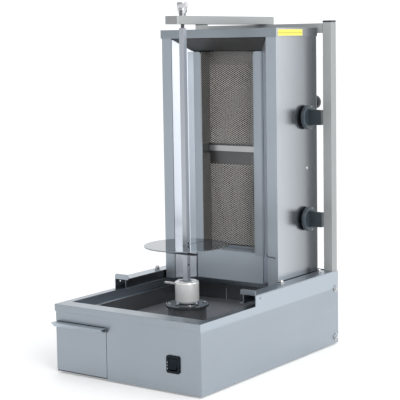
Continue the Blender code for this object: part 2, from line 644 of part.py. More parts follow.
def meat_plate():
    disc = rod(PLATE_RADIUS, (0, SPIT_Y, PLATE_Z), PLATE_THICK, steps=64, chamfer=0.4)
    hub_half = 10.0
    hub = box((-hub_half, SPIT_Y - hub_half, CLIP_Z + CLIP_WIRE / 2 + GAP), (hub_half, SPIT_Y + hub_half, PLATE_Z + 1))
    union(disc, hub)
    hole = SPIT / 2 + 0.5
    cut(disc, box((-hole, SPIT_Y - hole, CLIP_Z), (hole, SPIT_Y + hole, PLATE_Z + 10)))
    cut(disc, box((-1.25, SPIT_Y + hub_half + 0.5, PLATE_Z - 5), (1.25, SPIT_Y + PLATE_RADIUS + 5, PLATE_Z + 10)))
    node(disc, "meat_plate", "polished", (0, SPIT_Y, PLATE_Z))

    bend = (SPIT / 2 + GAP + CLIP_WIRE) / 2
    loop_x = 30.0
    loop = [(loop_x + bend * math.sin(math.radians(a)), SPIT_Y - bend + bend * math.cos(math.radians(a)), CLIP_Z)
            for a in range(0, 181, 20)]
    points = [(-62, SPIT_Y, CLIP_Z)] + loop + [(-52, SPIT_Y - 2 * bend, CLIP_Z)]
    node(bent_wire(points, CLIP_WIRE / 2), "plate_clip", "dark_steel", (-62, SPIT_Y, CLIP_Z))


def top_pin():
    arm_top = ARM_BOTTOM + ARM_HEIGHT
    pin = rod(PIN_RADIUS, (0, SPIT_Y, PIN_BOTTOM), arm_top + 12 - PIN_BOTTOM, steps=20, chamfer=1.0)
    node(pin, "top_pin", "polished", (0, SPIT_Y, PIN_BOTTOM))

    low = arm_top + GAP
    profile = [(0, low), (8, low), (8.6, low + 3), (12.4, low + 14), (12.4, low + 16), (11.6, low + 17.5),
               (12.6, low + 19), (13.4, low + 23), (13.4, KNOB_TOP - 1.5), (12.4, KNOB_TOP), (0, KNOB_TOP)]
    knob = turned([(r, z - low) for r, z in profile], (0, SPIT_Y, low), steps=32)
    cut(knob, rod(PIN_RADIUS + GAP, (0, SPIT_Y, low - 5), 17.5, steps=20))
    node(knob, "pin_knob", "polished", (0, SPIT_Y, low))


# ---------------------------------------------------------------- heater cabinet
def heater_shell():
    corner = HEATER_CORNER
    for name, side in SIDES.items():
        path = [(HEATER_HALF - FLANGE_WIDTH, HEATER_FRONT), (HEATER_HALF, HEATER_FRONT)]
        path += arc((HEATER_HALF - corner, HEATER_BACK - corner), corner, 0, 90, 4)
        path += [(HEATER_HALF - 25, HEATER_BACK)]
        panel = prism(mirrored(folded(path, SHEET), side), HEATER_BOTTOM, HEATER_TOP, "Z")
        if side > 0:
            cut(panel, *[rod(STEM_RADIUS + 2, (HEATER_HALF - 10, VALVE_Y, z), 20, "X", 16)
                         for z in VALVE_Z.values()])
        node(panel, f"heater_side_{name}", "brushed")

    half = HEATER_HALF - 25 - GAP
    back = box((-half, HEATER_BACK - SHEET, HEATER_BOTTOM), (half, HEATER_BACK, HEATER_TOP))
    cut(back, rod(8, (INLET_X - 10, HEATER_BACK - 10, INLET_Z), 20, "Y", 16))
    node(back, "heater_back", "brushed")

    inside = HEATER_HALF - SHEET - GAP
    floor = prism(
        [(-inside, HEATER_FRONT + SHEET + GAP), (-REFLECTOR_IN - 43, HEATER_FRONT + SHEET + GAP),
         (-REFLECTOR_IN - 3, REFLECTOR_BACK + 5), (REFLECTOR_IN + 3, REFLECTOR_BACK + 5),
         (REFLECTOR_IN + 43, HEATER_FRONT + SHEET + GAP), (inside, HEATER_FRONT + SHEET + GAP),
         (inside, HEATER_BACK - corner), (inside - corner, HEATER_BACK - SHEET - GAP),
         (-inside + corner, HEATER_BACK - SHEET - GAP), (-inside, HEATER_BACK - corner)],
        HEATER_BOTTOM, HEATER_BOTTOM + SHEET, "Z")
    node(floor, "heater_floor", "zinc")

    outer = HEATER_HALF + 2.3
    front = HEATER_FRONT - 2.3
    rear = HEATER_BACK + 2.2
    radius = HEATER_CORNER + 2
    outline = [(-outer, front), (outer, front)]
    outline += arc((outer - radius, rear - radius), radius, 0, 90, 4)
    outline += arc((-outer + radius, rear - radius), radius, 90, 180, 4)
    lid = prism(outline, LID_BOTTOM, LID_TOP, "Z")
    hollow = [(-outer + SHEET, front + SHEET), (outer - SHEET, front + SHEET)]
    hollow += arc((outer - radius, rear - radius), radius - SHEET, 0, 90, 4)
    hollow += arc((-outer + radius, rear - radius), radius - SHEET, 90, 180, 4)
    cut(lid, prism(hollow, LID_BOTTOM - 5, LID_TOP - SHEET, "Z"))
    node(lid, "heater_lid", "brushed")


def fire_recess():
    """Angled reflectors, burner frame and sloping ceiling round the burners."""
    slope = [(REFLECTOR_FRONT - 20, CEILING_FRONT_Z + 16), (REFLECTOR_FRONT - 20, HEATER_TOP + 10),
             (260, HEATER_TOP + 10), (260, CEILING_BACK_Z - GAP), (120, CEILING_BACK_Z - GAP),
             (REFLECTOR_FRONT, CEILING_FRONT_Z - GAP)]
    front_x = REFLECTOR_IN + REFLECTOR_BACK - REFLECTOR_FRONT
    for name, side in SIDES.items():
        path = [(REFLECTOR_IN, REFLECTOR_BACK), (front_x, REFLECTOR_FRONT)]
        sheet = prism(mirrored(folded(path, THIN), side), HEATER_BOTTOM + SHEET + GAP, CEILING_FRONT_Z + 3, "Z")
        cut(sheet, prism(slope, -300, 300, "X"))
        node(sheet, f"reflector_{name}", "polished")

        step = 1.1
        path = [(RECESS_HALF, MESH_Y + 1), (RECESS_HALF, REFLECTOR_BACK - step - 0.5),
                (REFLECTOR_IN - step, REFLECTOR_BACK - step - 0.5), (REFLECTOR_IN + 9, REFLECTOR_BACK - step - 10.5)]
        frame = prism(mirrored(folded(path, THIN), side), FRAME_BOTTOM, FRAME_TOP, "Z")
        round_off = 10.0
        corner_cut = [(RECESS_HALF - 5, FRAME_TOP + 5), (RECESS_HALF - 5, FRAME_TOP - round_off)]
        corner_cut += arc((RECESS_HALF + round_off, FRAME_TOP - round_off), round_off, 180, 90, 5)
        corner_cut += [(RECESS_HALF + round_off, FRAME_TOP + 5)]
        cut(frame, prism(mirrored(corner_cut, side), REFLECTOR_BACK - 8, REFLECTOR_BACK + 1, "Y"))
        node(frame, f"burner_frame_{name}", "brushed")

    path = [(REFLECTOR_FRONT, CEILING_FRONT_Z), (120, CEILING_BACK_Z), (MESH_Y, CEILING_BACK_Z)]
    half = front_x - 0.5
    ceiling = prism(folded(path, THIN), -half, half, "X")
    trims = []
    for side in SIDES.values():
        outline = mirrored([(front_x - 0.6, REFLECTOR_FRONT), (REFLECTOR_IN - 0.6, REFLECTOR_BACK),
                            (REFLECTOR_IN - 0.6, 200), (200, 200), (200, REFLECTOR_FRONT - 10),
                            (front_x - 0.6, REFLECTOR_FRONT - 10)], side)
        trims.append(prism(outline, 740, 840, "Z"))
    cut(ceiling, *trims)
    node(ceiling, "ceiling_panel", "dark_steel")

    apron = box((-REFLECTOR_IN + 2, REFLECTOR_BACK + 1, HEATER_BOTTOM + SHEET + GAP),
                (REFLECTOR_IN - 2, REFLECTOR_BACK + 1 + THIN, MESH_LOWER[0] - 2))
    shelf = box((-RECESS_HALF + 2, REFLECTOR_BACK + 1, MESH_LOWER[0] - 3.2), (RECESS_HALF - 2, MESH_Y, MESH_LOWER[0] - 2))
    union(apron, shelf)
    cut(apron, *[mirrored_box((RECESS_HALF - GAP, REFLECTOR_BACK - 2, FRAME_BOTTOM - GAP),
                              (RECESS_HALF + THIN + GAP, MESH_Y + 5, FRAME_BOTTOM + 20), side)
                 for side in SIDES.values()])
    node(apron, "apron_panel", "brushed")


def burners():
    half = RECESS_HALF - GAP
    for name, (low, high) in {"lower": MESH_LOWER, "upper": MESH_UPPER}.items():
        guard = box((-half, MESH_Y, low), (half, MESH_Y + 1, high))
        node(guard, f"mesh_guard_{name}", "dark_steel")
    outer = 84.0
    start = MESH_Y + 1 + GAP + 0.5
    burner = box((-outer, start, MESH_LOWER[0]), (outer, start + 46, MESH_UPPER[1]))
    union(burner, box((-half, MESH_Y - 3.5, MESH_LOWER[1] + GAP), (half, start + 1, MESH_UPPER[0] - GAP)))
    for name, (low, high) in {"lower": MESH_LOWER, "upper": MESH_UPPER}.items():
        header = high - 34
        cut(burner, box((-outer + 2, start - 5, low + 2), (outer - 2, start + 44, header)))
        union(burner, ring(11, 8, (58, start + 43, low + 60), 28, "Y", 16))
        cut(burner, rod(8, (58, start + 40, low + 60), 20, "Y", 16))
        tile = box((-outer + 2 + GAP, start + 5, low + 2 + GAP), (outer - 2 - GAP, start + 17, header - GAP))
        node(tile, f"ceramic_tile_{name}", "ceramic")
    node(burner, "burner_box", "dark_steel")


def gas_train():
    for name, z in VALVE_Z.items():
        cone = rod(6.5, (CONE_START, VALVE_Y, z), CONE_LENGTH, "X", 16, chamfer=1.0)
        cut(cone, rod(STEM_RADIUS + GAP, (CONE_START + 5, VALVE_Y, z), CONE_LENGTH, "X", 16))
        node(cone, f"valve_cone_{name}", "brass", (CONE_START, VALVE_Y, z))

        skirt = turned([(0, 0), (KNOB_RADIUS - 1, 0), (KNOB_RADIUS, 1.5), (KNOB_RADIUS, KNOB_FACE - KNOB_START - 2),
                        (KNOB_RADIUS - 3, KNOB_FACE - KNOB_START), (0, KNOB_FACE - KNOB_START)],
                       (KNOB_START, VALVE_Y, z), "X", 36)
        grip_outline = [(-6, -19.5), (6, -19.5), (7, -18), (7, 18), (6, 19.5), (-6, 19.5), (-7, 18), (-7, -18)]
        grip = prism([(VALVE_Y + y, z + h) for y, h in grip_outline], KNOB_FACE - 1, KNOB_END, "X")
        stem_start = CONE_START + 5 + KNOB_PUSH + 0.5
        stem = rod(STEM_RADIUS, (stem_start, VALVE_Y, z), KNOB_START - stem_start + 2, "X", 16)
        knob = union(skirt, grip, stem)
        node(knob, f"knob_{name}", "black_plastic", (KNOB_START, VALVE_Y, z))

    pipe_x = INLET_X - 10
    pipe_y = VALVE_Y + 34
    pipes = rod(7, (pipe_x, pipe_y, VALVE_Z["lower"] - 14), INLET_Z - VALVE_Z["lower"] + 28, steps=16)
    union(pipes, rod(6, (pipe_x, pipe_y, INLET_Z), HEATER_BACK + 8 - pipe_y, "Y", 16))
    for z, (low, high) in zip(VALVE_Z.values(), (MESH_LOWER, MESH_UPPER)):
        block = box((130, VALVE_Y - 12, z - 13), (HEATER_HALF - 6, VALVE_Y + 12, z + 13))
        stub = rod(5, (pipe_x, VALVE_Y + 10, z), 24, "Y", 16)
        union(pipes, block, stub, feed_tube(z, low + 60))
        cut(pipes, rod(7.0, (CONE_START - 0.5, VALVE_Y, z), 60, "X", 16))
    node(pipes, "gas_pipework", "brass")

    y_start = HEATER_BACK + 8 + GAP
    inlet = union(rod(9, (pipe_x, y_start, INLET_Z), 10, "Y", 6),
                  rod(18, (INLET_X, y_start + 6, INLET_Z), 16, "Y", 28, chamfer=2.0),
                  rod(7, (INLET_X, y_start + 14, INLET_Z - 40), 34, steps=16))
    node(inlet, "gas_inlet", "paint")


def feed_tube(valve_z, throat_z):
    """Tube from a valve down or along to the middle of its burner's throat."""
    throat_x = 58
    run_y = MESH_Y + 102
    drop = [(104, run_y, valve_z - 16), (104, run_y, throat_z + 16)]
    points = [(134, VALVE_Y, valve_z), (120, VALVE_Y, valve_z), (108, VALVE_Y + 8, valve_z - 3),
              (104, run_y - 14, valve_z - 6)] + drop
    points += [(100, run_y, throat_z + 6), (90, run_y, throat_z), (68, run_y, throat_z),
               (60, run_y - 4, throat_z), (throat_x, run_y - 12, throat_z), (throat_x, MESH_Y + 66, throat_z)]
    return bent_wire(points, 4.0)


def build():
    clear_scene()
    base_panels()
    top_frame()
    drip_pan()
    rails()
    switch()
    cable_gland()
    drawer()
    support_frame()
    post_bolts()
    motor()
    spindle()
    meat_plate()
    top_pin()
    heater_shell()
    fire_recess()
    burners()
    gas_train()


build()
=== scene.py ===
"""Looks of a vertical rotisserie broiler: brushed and polished steel, a mesh-guarded burner and a spit.

Each operator finishes one group of pieces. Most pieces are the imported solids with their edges
rounded and a steel, plastic or brass finish; the mesh guards, knobs and trim are built here.
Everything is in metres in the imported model's own frame.
"""
import json
import math

import bmesh
import bpy
from bpy.props import FloatProperty, FloatVectorProperty, IntProperty, PointerProperty
from bpy.types import Operator, Panel, PropertyGroup
from mathutils import Matrix, Vector


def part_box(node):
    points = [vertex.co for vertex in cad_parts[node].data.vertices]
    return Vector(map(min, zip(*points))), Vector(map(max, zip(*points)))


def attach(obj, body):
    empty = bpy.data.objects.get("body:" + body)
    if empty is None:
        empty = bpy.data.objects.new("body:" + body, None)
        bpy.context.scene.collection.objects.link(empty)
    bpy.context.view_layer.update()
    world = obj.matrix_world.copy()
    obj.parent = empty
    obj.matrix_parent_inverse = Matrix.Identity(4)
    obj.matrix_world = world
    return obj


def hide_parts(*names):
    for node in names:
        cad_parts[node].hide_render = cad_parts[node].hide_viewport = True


bl_info = {
    "name": "Rotisserie Broiler",
    "version": (1, 0),
    "blender": (4, 5, 0),
    "location": "View3D > Sidebar > Broiler",
    "description": "Finishes a vertical rotisserie broiler on its packed frame",
    "category": "Object",
}

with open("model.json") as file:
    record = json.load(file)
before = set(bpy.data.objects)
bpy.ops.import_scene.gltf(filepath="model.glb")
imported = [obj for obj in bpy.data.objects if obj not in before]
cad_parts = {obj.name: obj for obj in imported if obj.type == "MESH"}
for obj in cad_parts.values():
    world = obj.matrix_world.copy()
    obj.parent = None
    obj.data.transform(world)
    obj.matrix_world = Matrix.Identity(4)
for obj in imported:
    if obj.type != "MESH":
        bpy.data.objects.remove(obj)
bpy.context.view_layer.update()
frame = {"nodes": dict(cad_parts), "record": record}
NODES = frame["nodes"]
BODY_OF = {node: body for body, nodes in frame["record"]["behaviour"]["bodies"].items() for node in nodes}
MM = 0.001
FLOOR_RADIUS = 60.0  # far enough that its edge meets the pale walls

# Stretch of the grain on each axis: low along the brushing, high across it.
ALONG_X = (7.0, 700.0, 700.0)
ALONG_Y = (700.0, 7.0, 700.0)
ALONG_Z = (700.0, 700.0, 7.0)
BACKWARD = (0.0, 1.0, 0.0)
UP = (0.0, 0.0, 1.0)
SCORCH = (0.5, 0.42, 0.34)  # share of red, green and blue that heat leaves


# ------------------------------------------------------------ settings
class StageSettings(PropertyGroup):
    camera_position: FloatVectorProperty(
        name="Camera position", description="Where the camera stands", size=3,
        default=(1.8243, -2.5391, 0.7953), subtype="TRANSLATION", unit="LENGTH")
    azimuth: FloatProperty(
        name="Azimuth", description="Turn of the view to the object's right",
        default=math.radians(35.72), subtype="ANGLE", unit="ROTATION")
    elevation: FloatProperty(
        name="Elevation", description="How far the view looks down",
        default=math.radians(5.90), subtype="ANGLE", unit="ROTATION")
    roll: FloatProperty(
        name="Roll", description="Tilt of the view", default=math.radians(-0.91),
        subtype="ANGLE", unit="ROTATION")
    lens: FloatProperty(
        name="Lens", description="Focal length on a 36 mm wide sensor", default=113.43,
        subtype="DISTANCE_CAMERA")
    shift: FloatProperty(
        name="Vertical shift", description="Vertical shift of the view", default=-0.0705)
    floor_color: FloatVectorProperty(
        name="Floor", description="Colour of the floor", size=3, default=(0.9, 0.9, 0.9),
        subtype="COLOR", min=0.0, max=1.0)
    sky: FloatProperty(name="Sky", description="Brightness of the studio walls", default=1.16)
    front_wall: FloatProperty(
        name="Front wall", description="Brightness of the wall at the front left", default=0.6)
    side_box: FloatProperty(
        name="Side softbox", description="Strength of the softbox behind the right side",
        default=5.0, unit="POWER")
    front_box: FloatProperty(
        name="Front softbox", description="Strength of the softbox at the front right",
        default=30.0, unit="POWER")


class FinishSettings(PropertyGroup):
    panel_color: FloatVectorProperty(
        name="Panel steel", description="Colour of the brushed panels", size=3,
        default=(0.392, 0.437, 0.482), subtype="COLOR", min=0.0, max=1.0)
    cabinet_color: FloatVectorProperty(
        name="Cabinet steel", description="Colour of the cabinet's sides", size=3,
        default=(0.515, 0.545, 0.58), subtype="COLOR", min=0.0, max=1.0)
    tube_color: FloatVectorProperty(
        name="Tube steel", description="Colour of the square tubes", size=3,
        default=(0.41, 0.425, 0.425), subtype="COLOR", min=0.0, max=1.0)
    mirror_color: FloatVectorProperty(
        name="Reflector steel", description="Colour of the polished reflectors", size=3,
        default=(0.70, 0.735, 0.80), subtype="COLOR", min=0.0, max=1.0)
    pan_color: FloatVectorProperty(
        name="Pan steel", description="Colour of the polished pan", size=3,
        default=(0.76, 0.79, 0.85), subtype="COLOR", min=0.0, max=1.0)
    # This colour also serves as painted shade on the pan's walls and the rails' inner webs.
    dark_color: FloatVectorProperty(
        name="Heated and shaded steel", description="Colour of steel darkened by heat, also painted shade on pan walls and rail webs", size=3,
        default=(0.16, 0.165, 0.172), subtype="COLOR", min=0.0, max=1.0)
    chrome_color: FloatVectorProperty(
        name="Chrome", description="Colour of the knobs and pins", size=3,
        default=(0.62, 0.62, 0.64), subtype="COLOR", min=0.0, max=1.0)
    zinc_color: FloatVectorProperty(
        name="Zinc", description="Colour of the plated fasteners", size=3,
        default=(0.62, 0.63, 0.64), subtype="COLOR", min=0.0, max=1.0)
    mesh_color: FloatVectorProperty(
        name="Mesh steel", description="Colour of the expanded metal", size=3,
        default=(0.98, 0.955, 0.91), subtype="COLOR", min=0.0, max=1.0)
    cup_color: FloatVectorProperty(
        name="Cup", description="Colour of the drive cup", size=3,
        default=(0.97, 0.965, 0.95), subtype="COLOR", min=0.0, max=1.0)
    plastic_color: FloatVectorProperty(
        name="Plastic", description="Colour of the knobs, switch and caps", size=3,
        default=(0.018, 0.027, 0.033), subtype="COLOR", min=0.0, max=1.0)
    label_color: FloatVectorProperty(
        name="Label", description="Colour of the blank label", size=3,
        default=(0.86, 0.75, 0.12), subtype="COLOR", min=0.0, max=1.0)
    panel_roughness: FloatProperty(
        name="Panel roughness", description="Roughness of the brushed panels", default=0.33,
        subtype="FACTOR", min=0.0, max=1.0)
    cabinet_roughness: FloatProperty(
        name="Cabinet roughness", description="Roughness of the cabinet's sides", default=0.24,
        subtype="FACTOR", min=0.0, max=1.0)
    mirror_roughness: FloatProperty(
        name="Mirror roughness", description="Roughness of polished steel", default=0.1,
        subtype="FACTOR", min=0.0, max=1.0)


class DetailSettings(PropertyGroup):
    edge: FloatProperty(
        name="Edge radius", description="Radius on the edges of sheet metal", default=0.6 * MM,
        subtype="DISTANCE", unit="LENGTH")
    diamond_width: FloatProperty(
        name="Diamond width", description="Long way of a mesh diamond", default=10.2 * MM,
        subtype="DISTANCE", unit="LENGTH")
    diamond_height: FloatProperty(
        name="Diamond height", description="Short way of a mesh diamond", default=5.25 * MM,
        subtype="DISTANCE", unit="LENGTH")
    strand: FloatProperty(
        name="Strand", description="Thickness of a mesh strand", default=1.25 * MM,
        subtype="DISTANCE", unit="LENGTH")
    header: FloatProperty(
        name="Header", description="Height of the burner's closed top band", default=32.0 * MM,
        subtype="DISTANCE", unit="LENGTH")
    louvres: IntProperty(name="Louvres", description="Louvres in each column on the back", default=6, min=1)


# ------------------------------------------------------------ shader groups
def new_group(name, inputs, outputs):
    """An empty shader group with (name, socket type, default) inputs and (name, socket type) outputs."""
    group = bpy.data.node_groups.new(name, "ShaderNodeTree")
    for label, kind, default in inputs:
        socket = group.interface.new_socket(name=label, in_out="INPUT", socket_type=kind)
        socket.default_value = default
    for label, kind in outputs:
        group.interface.new_socket(name=label, in_out="OUTPUT", socket_type=kind)
    return group


def add(tree, kind, inputs=None, **settings):
    """A node with its settings and socket values; a socket value may be another node's output."""
    node = tree.nodes.new(kind)
    for key, value in settings.items():
        setattr(node, key, value)
    for key, value in (inputs or {}).items():
        if isinstance(value, bpy.types.NodeSocket):
            tree.links.new(value, node.inputs[key])
        else:
            node.inputs[key].default_value = value
    return node


def on_piece(tree):
    """The place on the piece, in metres."""
    return add(tree, "ShaderNodeTexCoord").outputs["Object"]


def blend(tree, mask, low, high):
    """One colour where the mask is 0 and the other where it is 1."""
    return add(tree, "ShaderNodeMix", {0: mask, 6: low, 7: high}, data_type="RGBA").outputs[2]


def ramp(tree, value, low, high, **settings):
    """A mask that rises from 0 to 1 as the value goes from low to high."""
    inputs = {"Value": value, "From Min": low, "From Max": high}
    return add(tree, "ShaderNodeMapRange", inputs, **settings).outputs["Result"]


def spread(tree, mask, middle, share, top=1.0):
    """A value that varies about its middle by a share of it, as the mask goes from 0 to top."""
    inputs = {"Value": mask, "From Max": top, "To Min": middle * (1 - share),
              "To Max": min(1.0, middle * (1 + share))}
    return add(tree, "ShaderNodeMapRange", inputs).outputs["Result"]


def give(group, outputs):
    """Send each named value out of the group."""
    result = add(group, "NodeGroupOutput")
    for label, value in outputs.items():
        group.links.new(value, result.inputs[label])
    return group


def grain_group():
    """Brushed grain: fine streaks stretched along the brushing, with longer soft bands."""
    group = new_group(
        "Brushed Grain",
        [("Stretch", "NodeSocketVector", ALONG_X), ("Band", "NodeSocketFloat", 0.35)],
        [("Streak", "NodeSocketFloat"), ("Height", "NodeSocketFloat")])
    given = add(group, "NodeGroupInput")
    stretched = add(group, "ShaderNodeVectorMath", {0: on_piece(group), 1: given.outputs["Stretch"]},
                    operation="MULTIPLY").outputs[0]
    fine = add(group, "ShaderNodeTexNoise",
               {"Vector": stretched, "Scale": 1.0, "Detail": 3.0, "Roughness": 0.6}).outputs["Fac"]
    wide = add(group, "ShaderNodeTexNoise",
               {"Vector": stretched, "Scale": 0.05, "Detail": 1.0, "Roughness": 0.5}).outputs["Fac"]
    mixed = add(group, "ShaderNodeMix", {0: given.outputs["Band"], 2: fine, 3: wide}, data_type="FLOAT")
    return give(group, {"Streak": mixed.outputs[0], "Height": fine})


def marks_group():
    """Wiped film and finger marks: soft clouds broken up by smears."""
    group = new_group(
        "Wiped Film",
        [("Size", "NodeSocketFloat", 6.0), ("Contrast", "NodeSocketFloat", 0.5)],
        [("Mask", "NodeSocketFloat")])
    given = add(group, "NodeGroupInput")
    clouds = add(group, "ShaderNodeTexNoise",
                 {"Vector": on_piece(group), "Scale": given.outputs["Size"], "Detail": 4.0,
                  "Roughness": 0.55, "Distortion": 0.6})
    about_half = {0: 0.5, 1: given.outputs["Contrast"]}
    low, high = (add(group, "ShaderNodeMath", about_half, operation=kind) for kind in ("SUBTRACT", "ADD"))
    return give(group, {"Mask": ramp(group, clouds.outputs["Fac"], low.outputs[0], high.outputs[0])})


def pebble_group():
    """Fine moulded texture of plastic, rubber and enamel."""
    group = new_group(
        "Moulded Texture", [("Scale", "NodeSocketFloat", 1500.0)],
        [("Height", "NodeSocketFloat"), ("Shade", "NodeSocketFloat")])
    given = add(group, "NodeGroupInput")
    place = on_piece(group)
    cells = add(group, "ShaderNodeTexVoronoi", {"Vector": place, "Scale": given.outputs["Scale"]})
    clouds = add(group, "ShaderNodeTexNoise", {"Vector": place, "Scale": 30.0, "Detail": 3.0})
    return give(group, {"Height": cells.outputs["Distance"], "Shade": clouds.outputs["Fac"]})


def soot_group():
    """Heat stain that gathers between two heights."""
    group = new_group(
        "Heat Stain", [("Clean Height", "NodeSocketFloat", 0.3), ("Stained Height", "NodeSocketFloat", 0.8)],
        [("Mask", "NodeSocketFloat")])
    given = add(group, "NodeGroupInput")
    place = on_piece(group)
    height = add(group, "ShaderNodeSeparateXYZ", {0: place}).outputs["Z"]
    clouds = add(group, "ShaderNodeTexNoise", {"Vector": place, "Scale": 14.0, "Detail": 5.0})
    rise = ramp(group, height, given.outputs["Clean Height"], given.outputs["Stained Height"])
    mask = add(group, "ShaderNodeMath", {0: rise, 1: clouds.outputs["Fac"]}, operation="MULTIPLY")
    return give(group, {"Mask": mask.outputs[0]})


def painted_light_step_group():
    """A soft step along a direction, for painted light and shade: where a painted reflection ends, a painted
    highlight band, a painted shadow line.
    """
    group = new_group(
        "Soft Step",
        [("Direction", "NodeSocketVector", (0.0, 1.0, 0.0)), ("Start", "NodeSocketFloat", 0.11),
         ("End", "NodeSocketFloat", 0.3)],
        [("Mask", "NodeSocketFloat")])
    given = add(group, "NodeGroupInput")
    reach = add(group, "ShaderNodeVectorMath", {0: on_piece(group), 1: given.outputs["Direction"]},
                operation="DOT_PRODUCT").outputs["Value"]
    return give(group, {"Mask": ramp(group, reach, given.outputs["Start"], given.outputs["End"],
                                     interpolation_type="SMOOTHSTEP")})


GROUP_MAKERS = {"Brushed Grain": grain_group, "Wiped Film": marks_group, "Moulded Texture": pebble_group,
                "Heat Stain": soot_group, "Soft Step": painted_light_step_group}


def group_node(tree, name, values):
    """A shader group in a material, with its own values; the group is built when first used."""
    group = bpy.data.node_groups.get(name) or GROUP_MAKERS[name]()
    return add(tree, "ShaderNodeGroup", values, node_tree=group)


# ------------------------------------------------------------ materials
def shade(color, factor):
    """The colour times a factor, as red, green, blue and a full alpha."""
    return (*[min(1.0, channel * factor) for channel in color[:3]], 1.0)


def material_base(name, roughness, metallic=0.0):
    """A new material with its node tree and its Principled shader."""
    material = bpy.data.materials.new(name)
    material.use_nodes = True
    tree = material.node_tree
    shader = tree.nodes["Principled BSDF"]
    shader.inputs["Roughness"].default_value = roughness
    shader.inputs["Metallic"].default_value = metallic
    return material, tree, shader


def surface(tree, shader, **values):
    """Link what changes over the surface: color, roughness, and relief as (height, strength, distance)."""
    if "relief" in values:
        height, strength, distance = values.pop("relief")
        bump = add(tree, "ShaderNodeBump", {"Height": height, "Strength": strength, "Distance": distance})
        values["normal"] = bump.outputs["Normal"]
    sockets = {"color": "Base Color", "roughness": "Roughness", "normal": "Normal"}
    for key, value in values.items():
        tree.links.new(value, shader.inputs[sockets[key]])


def steel(name, color, roughness, stretch=ALONG_X, grain=0.10, film=0.06, bump=0.05, stain=None, fade=None,
          metallic=1.0):
    """Brushed or polished sheet: streaked colour and roughness, a wiped film and a shallow grain bump; a fade
    paints a lighter or darker step into the colour, as painted light and shade.
    """
    material, tree, shader = material_base(name, roughness, metallic)
    brushed = group_node(tree, "Brushed Grain", {"Stretch": stretch})
    streak = brushed.outputs["Streak"]
    wiped = group_node(tree, "Wiped Film", {"Size": 5.0, "Contrast": 0.3}).outputs["Mask"]
    tone = blend(tree, streak, shade(color, 1 - grain), shade(color, 1 + grain))
    tone = blend(tree, wiped, tone, shade(color, 1 - film))
    if stain:
        heat = group_node(tree, "Heat Stain", {"Clean Height": stain[0], "Stained Height": stain[1]})
        scorched = (*[channel * part for channel, part in zip(color, SCORCH)], 1.0)
        tone = blend(tree, heat.outputs["Mask"], tone, scorched)
    # Painted light and shade: the colour steps lighter or darker along a direction.
    if fade:
        direction, start, end, factor = fade
        step = group_node(tree, "Soft Step", {"Direction": direction, "Start": start, "End": end})
        tone = blend(tree, step.outputs["Mask"], tone, shade(color, factor))
    both = add(tree, "ShaderNodeMath", {0: streak, 1: wiped}, operation="ADD").outputs[0]
    surface(tree, shader, color=tone, roughness=spread(tree, both, roughness, 0.15, top=2.0),
            relief=(brushed.outputs["Height"], bump, 0.2 * MM))
    return material


def moulded(name, color, roughness, scale=1500.0, bump=0.15, variation=0.25, coat=0.0, metallic=0.0,
            gloss=0.5):
    """Plastic, rubber, enamel and paint: slight mottling and a fine texture."""
    material, tree, shader = material_base(name, roughness, metallic)
    texture = group_node(tree, "Moulded Texture", {"Scale": scale})
    marks = group_node(tree, "Wiped Film", {"Size": 22.0, "Contrast": 0.35})
    tone = blend(tree, texture.outputs["Shade"], shade(color, 1 - variation), shade(color, 1 + variation))
    surface(tree, shader, color=tone, roughness=spread(tree, marks.outputs["Mask"], roughness, 0.15),
            relief=(texture.outputs["Height"], bump, 0.1 * MM))
    shader.inputs["Coat Weight"].default_value = coat
    shader.inputs["Specular IOR Level"].default_value = gloss
    return material


def ceramic(name, color, roughness, stained, hole_shade):
    """Porous burner tile with rows of flame holes; the tile is near black as painted shade behind the guards,
    with a heat stain over it, and its holes are darker still, as painted shade inside them.
    """
    material, tree, shader = material_base(name, roughness)
    holes = add(tree, "ShaderNodeTexVoronoi", {"Vector": on_piece(tree), "Scale": 380.0, "Randomness": 0.0})
    rim = ramp(tree, holes.outputs["Distance"], 0.25, 0.4)
    stain = group_node(tree, "Heat Stain", {"Clean Height": 0.1, "Stained Height": 0.9})
    tone = blend(tree, rim, hole_shade, blend(tree, stain.outputs["Mask"], (*color, 1.0), stained))
    surface(tree, shader, color=tone, relief=(rim, 0.6, 0.5 * MM))
    return material


def printed_label(name, color, roughness):
    """Yellow film with a slightly darker band down its middle."""
    material, tree, shader = material_base(name, roughness)
    low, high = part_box("heater_lid")
    height = add(tree, "ShaderNodeSeparateXYZ", {0: on_piece(tree)}).outputs["Z"]
    band_z = (low.z + high.z) / 2 - 1.2 * MM
    offset = add(tree, "ShaderNodeMath", {0: height, 1: band_z}, operation="SUBTRACT").outputs[0]
    reach = add(tree, "ShaderNodeMath", {0: offset}, operation="ABSOLUTE").outputs[0]
    tone = blend(tree, ramp(tree, reach, 1.4 * MM, 2.2 * MM), shade(color, 0.72), shade(color, 1.0))
    marks = group_node(tree, "Wiped Film", {"Size": 40.0, "Contrast": 0.4})
    surface(tree, shader, color=tone, roughness=spread(tree, marks.outputs["Mask"], roughness, 2 / 9))
    return material


# The same thin, even texture serves the switch's print and the knobs' painted highlight dots.
PRINT_AND_HIGHLIGHT = {"scale": 900.0, "bump": 0.02, "variation": 0.05}  # a thin, even print on plastic

